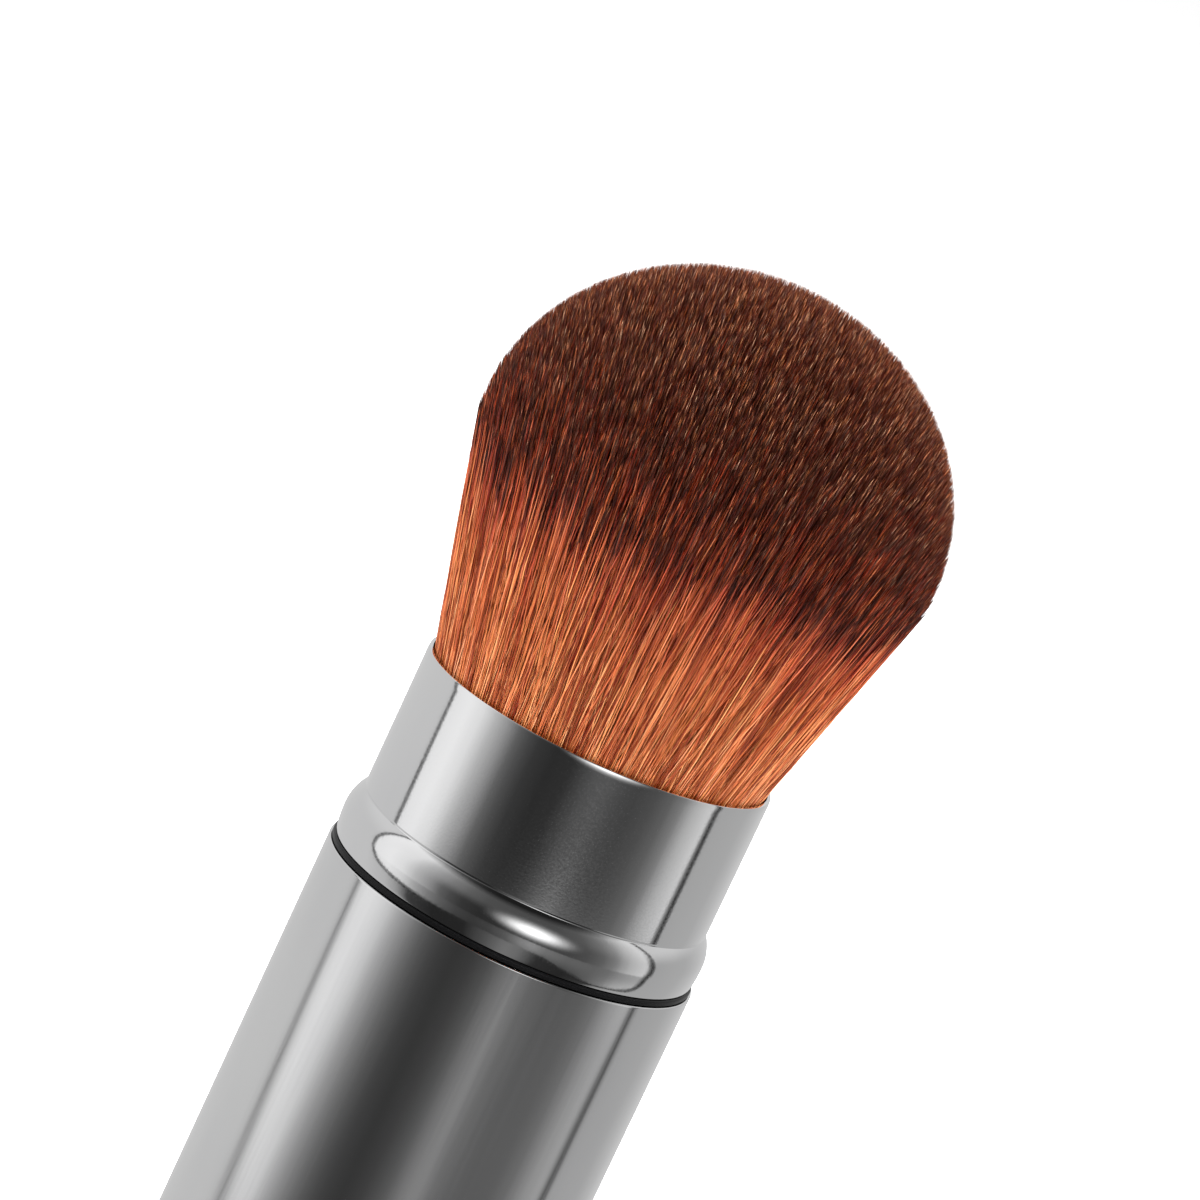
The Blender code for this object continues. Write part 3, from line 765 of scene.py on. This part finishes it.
def linear(colour):
    """An sRGB hex colour as linear red, green, blue and alpha."""
    parts = [int(colour[i : i + 2], 16) / 255 for i in (1, 3, 5)]
    return (*(c / 12.92 if c <= 0.04045 else ((c + 0.055) / 1.055) ** 2.4 for c in parts), 1.0)


def add(tree, kind, links=None, stops=None, **settings):
    """Adds a node. Settings are its properties, links its sockets by name or number, each a value
    or the output that it is joined to, and stops a ramp's places and colours."""
    node = tree.nodes.new(kind)
    for key, value in settings.items():
        setattr(node, key, value)
    for key, value in (links or {}).items():
        if isinstance(value, bpy.types.NodeSocket):
            tree.links.new(value, node.inputs[key])
        else:
            node.inputs[key].default_value = value
    if stops:
        elements = node.color_ramp.elements
        elements.remove(elements[1])
        elements[0].position, elements[0].color = stops[0]
        for place, colour in stops[1:]:
            elements.new(place).color = colour
    return node


def new_material(name, **constants):
    """A material, its tree and its Principled shader, with the sockets that are the same all over
    set."""
    made = bpy.data.materials.new(name)
    made.use_nodes = True
    shader = made.node_tree.nodes["Principled BSDF"]
    for key, value in constants.items():
        shader.inputs[key.replace("_", " ")].default_value = value
    return made, made.node_tree, shader


def stretched_noise(tree, scale, detail=2.0):
    """Noise on the object's own metres, with a scale for each axis, spread to run from 0 to 1."""
    place = add(tree, "ShaderNodeTexCoord").outputs["Object"]
    mapped = add(tree, "ShaderNodeMapping", {"Vector": place, "Scale": scale}).outputs["Vector"]
    noise = add(tree, "ShaderNodeTexNoise", {"Vector": mapped, "Scale": 1.0, "Detail": detail})
    low, high = NOISE_RANGE
    return add(
        tree,
        "ShaderNodeMapRange",
        {"Value": noise.outputs["Fac"], "From Min": low, "From Max": high},
    ).outputs["Result"]


def dress(
    tree, shader, tint, first, second, gloss, low, high, relief=None, strength=0.0, depth=0.0
):
    """Joins patterns that run from 0 to 1 to the shader: the colour goes from first to second along
    tint, the roughness from low to high along gloss, and relief stands up by depth."""
    colour = add(
        tree,
        "ShaderNodeMix",
        {"Factor": tint, 6: linear(first), 7: linear(second)},
        data_type="RGBA",
    )
    rough = add(tree, "ShaderNodeMapRange", {"Value": gloss, "To Min": low, "To Max": high})
    tree.links.new(colour.outputs[2], shader.inputs["Base Color"])
    tree.links.new(rough.outputs["Result"], shader.inputs["Roughness"])
    if relief is not None:
        bump = add(
            tree, "ShaderNodeBump", {"Height": relief, "Strength": strength, "Distance": depth}
        )
        tree.links.new(bump.outputs["Normal"], shader.inputs["Normal"])


def aluminium(name, first, second, gloss, haze, grain=(5000, 5000, 60)):
    """Drawn aluminium, polished on a wheel. It mirrors the room in bands, whose edges waver a
    little where drawing left the wall in slow waves about 1.7 mm wide along the axis. Polishing
    leaves a faint grain: drawn lines on the tube and an even speckle on the shell. It is about
    0.05 mm fine, and is drawn at 0.15 to 0.2 mm so that it shows."""
    made, tree, shader = new_material(name, Metallic=1.0)
    lines = stretched_noise(tree, grain, 3.0)
    cloud = stretched_noise(tree, (140, 140, 60), 3.0)
    waves = stretched_noise(tree, (600, 600, 45))
    relief = add(
        tree, "ShaderNodeMath", {0: lines, 1: LINE_RELIEF, 2: waves}, operation="MULTIPLY_ADD"
    ).outputs[0]
    dress(
        tree, shader, cloud, first, second, lines, gloss, gloss + haze, relief, 1.0, DRAWN_DEPTH
    )
    return made


def turned_aluminium():
    """Aluminium cap faced on a lathe: concentric tool marks under a light polish. They are 0.25 mm
    apart, and are drawn at 0.75 mm so that they show. At scale 1 the wave texture has
    WAVES_IN_TURN waves in 2 pi."""
    made, tree, shader = new_material("faced_aluminium", Metallic=1.0)
    place = add(tree, "ShaderNodeTexCoord").outputs["Object"]
    rings = add(
        tree,
        "ShaderNodeTexWave",
        {"Vector": place, "Scale": 2 * pi / LATHE_MARKS / WAVES_IN_TURN},
        wave_type="RINGS",
        rings_direction="Z",
    ).outputs["Fac"]
    cloud = stretched_noise(tree, (160, 160, 160), 3.0)
    dress(tree, shader, cloud, "#e6e6e7", "#f0f0f0", rings, 0.08, 0.24, rings, 0.3, 0.01 * MM)
    return made


def moulded(name, first, second, low, high, grain, shine=0.5):
    """Injection-moulded plastic: an even colour that the flow of the melt clouds a little, and the
    fine spark grain of the mould, drawn at its size in millimetres."""
    made, tree, shader = new_material(name, IOR=1.53, Specular_IOR_Level=shine)
    cloud = stretched_noise(tree, (110, 110, 45), 3.0)
    size = 1 / (grain * MM)
    spark = stretched_noise(tree, (size, size, size))
    dress(tree, shader, cloud, first, second, spark, low, high, spark, 0.12, 0.01 * MM)
    return made


def plated_steel():
    """Zinc-plated steel: bluish grey with the spangle of the plating, in cells of about 0.6 mm."""
    made, tree, shader = new_material("zinc_plated_steel", Metallic=1.0)
    place = add(tree, "ShaderNodeTexCoord").outputs["Object"]
    spangle = add(
        tree, "ShaderNodeTexVoronoi", {"Vector": place, "Scale": 1 / SPANGLE}
    ).outputs["Distance"]
    dress(tree, shader, spangle, "#b9bdc1", "#d3d6d9", spangle, 0.25, 0.42)
    return made


def foam():
    """Closed-cell polyethylene foam: matt black, pitted by cells of 0.5 mm."""
    made, tree, shader = new_material("closed_cell_foam")
    place = add(tree, "ShaderNodeTexCoord").outputs["Object"]
    cells = add(
        tree, "ShaderNodeTexVoronoi", {"Vector": place, "Scale": 1 / FOAM_CELL}
    ).outputs["Distance"]
    dress(tree, shader, cells, "#121212", "#262626", cells, 0.85, 0.95, cells, 0.6, 0.1 * MM)
    return made


def cured_glue(name, first, second):
    """Cured epoxy: amber, glossy, with slow waves where it levelled and darker threads of fibre in
    it."""
    made, tree, shader = new_material(name, IOR=1.55)
    waves = stretched_noise(tree, (400, 400, 400))
    threads = stretched_noise(tree, (6000, 6000, 300))
    dress(tree, shader, threads, first, second, waves, 0.15, 0.35, waves, 0.2, 0.05 * MM)
    return made


def fibre():
    """Polyester filament, dyed terracotta with dark brown tips. Each column of the UV map has its
    own shade, from a deep red brown to a few pale ones: partly the filaments' own colour at
    random, partly painted shade at the dark end and a painted highlight at the pale end, for the
    gaps between filaments and the glints along them. It also varies a little along itself by
    painted light and shade, where a filament twists and its neighbours cover it. The dye reaches
    its own depth on each one, through a redder zone, and lightens again just under the dome's
    face, a painted highlight where the tips catch the light. V runs from the root to 1 where the
    dye is measured from."""
    made, tree, shader = new_material(
        "dyed_polyester_filament", IOR=1.55, Specular_IOR_Level=0.3
    )
    uv = add(tree, "ShaderNodeUVMap", uv_map="OFBake").outputs["UV"]
    parts = add(tree, "ShaderNodeSeparateXYZ", {"Vector": uv}).outputs
    column = add(
        tree, "ShaderNodeMath", {0: parts["X"], 1: float(COLUMNS)}, operation="MULTIPLY"
    ).outputs[0]
    number = add(tree, "ShaderNodeMath", {0: column}, operation="FLOOR").outputs[0]
    chance = add(tree, "ShaderNodeTexWhiteNoise", {"W": number}, noise_dimensions="1D")
    shades = add(tree, "ShaderNodeSeparateColor", {"Color": chance.outputs["Color"]}).outputs
    from_tip = add(
        tree,
        "ShaderNodeMath",
        {0: parts["Y"], 1: -LONGEST / MM, 2: LONGEST / MM},
        operation="MULTIPLY_ADD",
    ).outputs[0]
    run = add(
        tree,
        "ShaderNodeMath",
        {0: shades["Red"], 1: DYE_SPREAD, 2: from_tip},
        operation="MULTIPLY_ADD",
    ).outputs[0]
    along = add(
        tree,
        "ShaderNodeMapRange",
        {"Value": run, "From Min": DYE_RANGE[0], "From Max": DYE_RANGE[1]},
    ).outputs["Result"]
    # The first two stops lighten the tips: a painted highlight where they catch the light
    dye = add(
        tree,
        "ShaderNodeValToRGB",
        {"Fac": along},
        stops=[
            (0.0, linear("#8c5434")),
            (0.03, linear("#4c2817")),
            (0.10, linear("#240e08")),
            (0.18, linear("#3a1108")),
            (0.235, linear("#883417")),
            (0.45, linear("#994c22")),
            (1.0, linear("#a75f36")),
        ],
    ).outputs["Color"]
    spin, slow = (
        add(tree, "ShaderNodeMath", {0: value, 1: scale}, operation="MULTIPLY").outputs[0]
        for value, scale in ((number, COLUMN_STEP), (from_tip, PAINTED_LIGHT_PATCHES))
    )
    place = add(tree, "ShaderNodeCombineXYZ", {"X": spin, "Y": slow}).outputs["Vector"]
    # Painted light and shade along each filament, where it twists and its neighbours cover it
    painted_light_and_shade = add(
        tree,
        "ShaderNodeTexNoise",
        {"Vector": place, "Scale": 1.0, "Detail": 1.0},
        noise_dimensions="2D",
    ).outputs["Fac"]
    shade = add(
        tree,
        "ShaderNodeMath",
        {0: painted_light_and_shade, 1: PAINTED_LIGHT_SHARE, 2: shades["Green"]},
        operation="MULTIPLY_ADD",
    ).outputs[0]
    shade = add(
        tree,
        "ShaderNodeMapRange",
        {"Value": shade, "From Min": SHADE_RANGE[0], "From Max": SHADE_RANGE[1]},
    ).outputs["Result"]
    # Random by column; its dark end is painted shade and its pale end a painted highlight
    tone_and_painted_light = add(
        tree,
        "ShaderNodeValToRGB",
        {"Fac": shade},
        stops=[
            (0.0, (0.08, 0.02, 0.008, 1)),
            (0.28, (0.145, 0.09, 0.055, 1)),
            (0.52, (0.25, 0.23, 0.215, 1)),
            (0.74, (0.35, 0.40, 0.485, 1)),
            (1.0, (0.40, 0.73, 1.24, 1)),
        ],
    ).outputs["Color"]
    coloured = add(
        tree, "ShaderNodeVectorMath", {0: dye, 1: tone_and_painted_light}, operation="MULTIPLY"
    ).outputs["Vector"]
    lifted = add(
        tree, "ShaderNodeVectorMath", {0: coloured, "Scale": TONE_LIFT}, operation="SCALE"
    ).outputs["Vector"]
    cast, rough = (
        add(
            tree, "ShaderNodeMapRange", {"Value": shades["Blue"], "To Min": low, "To Max": high}
        ).outputs["Result"]
        for low, high in (HUE_RANGE, FIBRE_GLOSS)
    )
    lifted = add(tree, "ShaderNodeHueSaturation", {"Color": lifted, "Hue": cast}).outputs["Color"]
    tree.links.new(lifted, shader.inputs["Base Color"])
    tree.links.new(rough, shader.inputs["Roughness"])
    return made


def finish_with(piece, material):
    """Gives a piece its one material."""
    piece.data.materials.clear()
    piece.data.materials.append(material)


# Assembly

barrel_metal = aluminium("polished_aluminium_tube", "#e8e8e9", "#eeeeee", 0.10, 0.05)
collar_metal = aluminium(
    "polished_aluminium_shell", "#eeeeef", "#f4f4f4", 0.04, 0.07, (6500, 6500, 6500)
)
black_abs = moulded("black_abs", "#050505", "#080809", 0.3, 0.4, 0.12, 0.15)
grey_abs = moulded("grey_abs", "#525354", "#5c5d5e", 0.4, 0.55, 0.15)
acetal = moulded("natural_acetal", "#dcd8cb", "#e4e1d6", 0.3, 0.42, 0.2)
steel = plated_steel()
mill_metal = aluminium("mill_finish_aluminium", "#dedede", "#e8e8e8", 0.28, 0.12)
bound_fibre = cured_glue("bound_fibre", "#7a3c20", "#b5683e")
filament = fibre()

for made, body, node, slot, material in (
    (make_barrel(), "handle", "barrel", "polished_metal", barrel_metal),
    (make_base_cap(), "handle", "base_cap", "polished_metal", turned_aluminium()),
    (make_mouth_ring(), "handle", "mouth_bushing", "black_plastic", black_abs),
    (make_sleeve(), "guard", "guard_sleeve", "black_plastic", black_abs),
    (make_collar(), "guard", "collar", "polished_metal", collar_metal),
    (make_root(), "handle", "bristles", "bristle_fibre", bound_fibre),
):
    finish_with(made, material)
    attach(made, body)
    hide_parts(node)

for piece, facing in make_tuft():
    finish_with(piece, filament)
    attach(piece, "handle")
    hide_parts("bristles")
    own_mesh(piece)

for node, material in (
    ("barrel_liner", grey_abs),
    ("base_plug", grey_abs),
    ("core_stem", grey_abs),
    ("slide_ring", acetal),
    ("stem_screw", steel),
    ("screw_washer", steel),
    ("base_weight", steel),
    ("ferrule", mill_metal),
    ("glue_plug", cured_glue("cured_epoxy", "#9a6a30", "#b98a4a")),
    ("base_pad", foam()),
):
    finish_with(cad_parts[node], material)


# Studio


def make_floor():
    """A pale sweep under the brush. It lies a hair over the foot, so that the cap's face shows
    whole from below."""
    signs = ((-1, -1), (1, -1), (1, 1), (-1, 1))
    corners = [(x * PAPER_SIZE, y * PAPER_SIZE, PAPER_LEVEL) for x, y in signs]
    floor = put_mesh("studio_floor", corners, [[0, 1, 2, 3]], [])
    paper, tree, shader = new_material("white_paper_sweep")
    fine = stretched_noise(tree, (300, 300, 300), 4.0)
    dress(tree, shader, fine, "#f6f6f6", "#fafafa", fine, 0.8, 0.9)
    shader.inputs["Emission Color"].default_value = (1, 1, 1, 1)
    shader.inputs["Emission Strength"].default_value = PAPER_GLOW
    finish_with(floor, paper)
    floor.visible_glossy = False


def box_edge(tree, azimuth, up):
    """Which side of a soft box's edge a direction is on: under 1 inside, over 1 outside. With a the
    azimuth from the box's middle and z the direction's rise, the box is the rounded oblong
    (tan a / side)^8 + (-z / sqrt(1 - z^2) / cos a / foot)^8 = 1, open towards the front and
    upwards."""
    turn = add(tree, "ShaderNodeMath", {0: azimuth}, operation="ABSOLUTE").outputs[0]
    turn = add(
        tree,
        "ShaderNodeMapRange",
        {
            "Value": turn,
            "From Min": BOX_AZIMUTH,
            "From Max": BOX_AZIMUTH + BOX_SWEEP,
            "To Max": BOX_SWEEP,
        },
    ).outputs["Result"]
    side, near, rise = (
        add(tree, "ShaderNodeMath", {0: value}, operation=operation).outputs[0]
        for value, operation in ((turn, "TANGENT"), (turn, "COSINE"), (up, "ARCSINE"))
    )
    slope = add(tree, "ShaderNodeMath", {0: rise}, operation="TANGENT").outputs[0]
    foot = add(
        tree,
        "ShaderNodeMapRange",
        {
            "Value": azimuth,
            "From Min": BOX_FOOT_TURNS[0],
            "From Max": BOX_FOOT_TURNS[1],
            "To Min": -BOX_FOOT[0],
            "To Max": -BOX_FOOT[1],
        },
    ).outputs["Result"]
    fall = ("DIVIDE", near), ("DIVIDE", foot), ("MAXIMUM", 0.0), ("POWER", BOX_ROUNDNESS)
    for operation, value in fall:
        slope = add(tree, "ShaderNodeMath", {0: slope, 1: value}, operation=operation).outputs[0]
    for operation, value in (("DIVIDE", BOX_SIDE), ("POWER", BOX_ROUNDNESS)):
        side = add(tree, "ShaderNodeMath", {0: side, 1: value}, operation=operation).outputs[0]
    return add(tree, "ShaderNodeMath", {0: side, 1: slope}, operation="ADD").outputs[0]


def grey_stops(levels):
    """Stops of a ramp that runs once round, from azimuths in degrees with their brightness."""
    return [((a + 180) / 360, (b, b, b, 1)) for a, b in levels]


def make_room():
    """The room that the metal mirrors, by direction. Azimuth 0 is behind the camera and 180 behind
    the brush. A dark front and ceiling with a soft round light, a tall soft box at each side with a
    thin dark frame, and pale walls outside them. At the table's level, where the barrel looks, the
    boxes are a little dimmer. Matt surfaces and the camera see plain white."""
    world = bpy.data.worlds.new("studio")
    bpy.context.scene.world = world
    world.use_nodes = True
    world.cycles.sampling_method = "NONE"
    tree = world.node_tree
    tree.nodes.clear()
    direction = add(tree, "ShaderNodeTexCoord").outputs["Generated"]
    axes = add(tree, "ShaderNodeSeparateXYZ", {"Vector": direction}).outputs
    front = add(tree, "ShaderNodeMath", {0: axes["Y"], 1: -1.0}, operation="MULTIPLY").outputs[0]
    azimuth = add(
        tree, "ShaderNodeMath", {0: axes["X"], 1: front}, operation="ARCTAN2"
    ).outputs[0]
    place = add(
        tree, "ShaderNodeMapRange", {"Value": azimuth, "From Min": -pi, "From Max": pi}
    ).outputs["Result"]
    high, level, table, walls = (
        add(tree, "ShaderNodeValToRGB", {"Fac": place}, stops=grey_stops(levels)).outputs["Color"]
        for levels in (HIGH_LEVELS, EYE_LEVELS, TABLE_LEVELS, WALL_LEVELS)
    )
    below, over, floor = (
        add(
            tree,
            "ShaderNodeMapRange",
            {"Value": axes["Z"], "From Min": top, "From Max": bottom},
            interpolation_type="SMOOTHSTEP",
        ).outputs["Result"]
        for top, bottom in (TABLE_BLEND, HIGH_BLEND, FLOOR_BLEND)
    )
    below = add(tree, "ShaderNodeMath", {0: below, 1: floor}, operation="MULTIPLY").outputs[0]
    inside = add(
        tree, "ShaderNodeMix", {"Factor": below, 6: level, 7: table}, data_type="RGBA"
    ).outputs[2]
    edge = box_edge(tree, azimuth, axes["Z"])
    outside, beyond = (
        add(
            tree, "ShaderNodeMapRange", {"Value": edge, "From Min": near, "From Max": far}
        ).outputs["Result"]
        for near, far in (BOX_BLEND, FRAME_FADE)
    )
    room = add(
        tree, "ShaderNodeMix", {"Factor": outside, 6: inside, 7: walls}, data_type="RGBA"
    ).outputs[2]
    frame_line = add(
        tree,
        "ShaderNodeValToRGB",
        {"Fac": edge},
        stops=[(e, (b, b, b, 1)) for e, b in BOX_FRAME],
    ).outputs["Color"]
    frame_line = add(
        tree, "ShaderNodeMix", {"Factor": beyond, 6: frame_line, 7: (1, 1, 1, 1)}, data_type="RGBA"
    ).outputs[2]
    room = add(
        tree, "ShaderNodeMix", {"Factor": over, 6: high, 7: room}, data_type="RGBA"
    ).outputs[2]
    ceiling = add(
        tree,
        "ShaderNodeMapRange",
        {
            "Value": axes["Z"],
            "From Min": CEILING[0],
            "From Max": CEILING[1],
            "To Min": 1.0,
            "To Max": CEILING_LEVEL,
        },
    ).outputs["Result"]
    room = add(
        tree, "ShaderNodeVectorMath", {0: room, "Scale": ceiling}, operation="SCALE"
    ).outputs["Vector"]
    sides = add(
        tree, "ShaderNodeValToRGB", {"Fac": place}, stops=grey_stops(SIDE_LEVELS)
    ).outputs["Color"]
    framed = add(
        tree, "ShaderNodeVectorMath", {0: room, 1: frame_line}, operation="MULTIPLY"
    ).outputs["Vector"]
    room = add(
        tree, "ShaderNodeMix", {"Factor": sides, 6: room, 7: framed}, data_type="RGBA"
    ).outputs[2]
    across = add(
        tree,
        "ShaderNodeMath",
        {0: azimuth, 1: 1 / FRONT_WIDTH, 2: -FRONT_AZIMUTH / FRONT_WIDTH},
        operation="MULTIPLY_ADD",
    ).outputs[0]
    above = add(
        tree,
        "ShaderNodeMath",
        {0: axes["Z"], 1: 1 / FRONT_HEIGHT, 2: -FRONT_RISE / FRONT_HEIGHT},
        operation="MULTIPLY_ADD",
    ).outputs[0]
    off = add(tree, "ShaderNodeCombineXYZ", {"X": across, "Y": above}).outputs["Vector"]
    off = add(tree, "ShaderNodeVectorMath", {0: off}, operation="LENGTH").outputs["Value"]
    glow = add(
        tree,
        "ShaderNodeMapRange",
        {"Value": off, "From Min": 1.0, "From Max": 0.0},
        interpolation_type="SMOOTHSTEP",
    ).outputs["Result"]
    glow = add(tree, "ShaderNodeMath", {0: glow, 1: FRONT_POWER}, operation="POWER").outputs[0]
    glow = add(tree, "ShaderNodeMath", {0: glow, 1: FRONT_LEVEL}, operation="MULTIPLY").outputs[0]
    room = add(
        tree, "ShaderNodeVectorMath", {0: room, 1: glow}, operation="ADD"
    ).outputs["Vector"]
    mirrored = add(tree, "ShaderNodeBackground", {"Color": room, "Strength": 1.0})
    plain = add(tree, "ShaderNodeBackground", {"Color": (1, 1, 1, 1), "Strength": 1.0})
    softer = add(tree, "ShaderNodeBackground", {"Color": (1, 1, 1, 1), "Strength": AMBIENT})
    path = add(tree, "ShaderNodeLightPath").outputs
    seen = add(
        tree,
        "ShaderNodeMixShader",
        {0: path["Is Camera Ray"], 1: softer.outputs[0], 2: plain.outputs[0]},
    )
    either = add(
        tree,
        "ShaderNodeMixShader",
        {0: path["Is Glossy Ray"], 1: seen.outputs[0], 2: mirrored.outputs[0]},
    )
    add(tree, "ShaderNodeOutputWorld", {"Surface": either.outputs[0]})


def make_light(name, azimuth, elevation, distance, width, height, power):
    """A soft box that faces the tuft. Azimuth 0 is the camera's side, and 90 the right."""
    a, e = radians(azimuth), radians(elevation)
    light = bpy.data.lights.new(name, "AREA")
    light.shape = "RECTANGLE"
    light.size, light.size_y = width, height
    light.energy = power
    lamp = bpy.data.objects.new(name, light)
    back = np.array([sin(a) * cos(e), -cos(a) * cos(e), sin(e)])
    lamp.location = back * distance + np.array([0, 0, lip])
    lamp.rotation_euler = (pi / 2 - e, 0, a)
    lamp.visible_camera = False
    lamp.visible_glossy = False
    bpy.context.scene.collection.objects.link(lamp)


def make_camera():
    """The camera stands where the photograph's perspective puts it. The mouth of the barrel falls
    on MOUTH_AT, and the axis leans by AXIS_LEAN there, tipped towards the camera by TILT."""
    focal = PIXELS_PER_METRE * DISTANCE
    half = FRAME_PIXELS / 2
    to_camera = np.array([half - MOUTH_AT[0], MOUTH_AT[1] - half, focal])
    to_camera /= np.linalg.norm(to_camera)
    lean = np.array([sin(AXIS_LEAN), cos(AXIS_LEAN), 0])
    across = lean - (lean @ to_camera) * to_camera
    up = sin(TILT) * to_camera + cos(TILT) * across / np.linalg.norm(across)
    right = np.cross(-to_camera, up)
    right /= np.linalg.norm(right)
    turn = np.array([right, np.cross(up, right), up])
    pose = np.eye(4)
    pose[:3, :3] = turn
    pose[:3, 3] = np.array([0, 0, barrel_high.z]) + turn @ to_camera * DISTANCE
    camera = bpy.data.objects.new("camera", bpy.data.cameras.new("camera"))
    camera.data.sensor_width = SENSOR
    camera.data.lens = focal * SENSOR / FRAME_PIXELS
    camera.data.clip_start, camera.data.clip_end = 0.01, 20
    camera.matrix_world = pose.T.tolist()
    bpy.context.scene.collection.objects.link(camera)
    bpy.context.scene.camera = camera


make_floor()
make_room()
make_light("left_box", -78, 14, 0.9, 0.3, 0.7, 12.0)
make_light("right_box", 80, 14, 0.9, 0.25, 0.7, 10.0)
make_light("front_box", 12, 22, 0.9, 0.3, 0.2, 5.5)
make_light("top_box", -20, 72, 0.9, 0.5, 0.5, 19.0)
make_camera()
bpy.context.scene.view_settings.view_transform = "Standard"
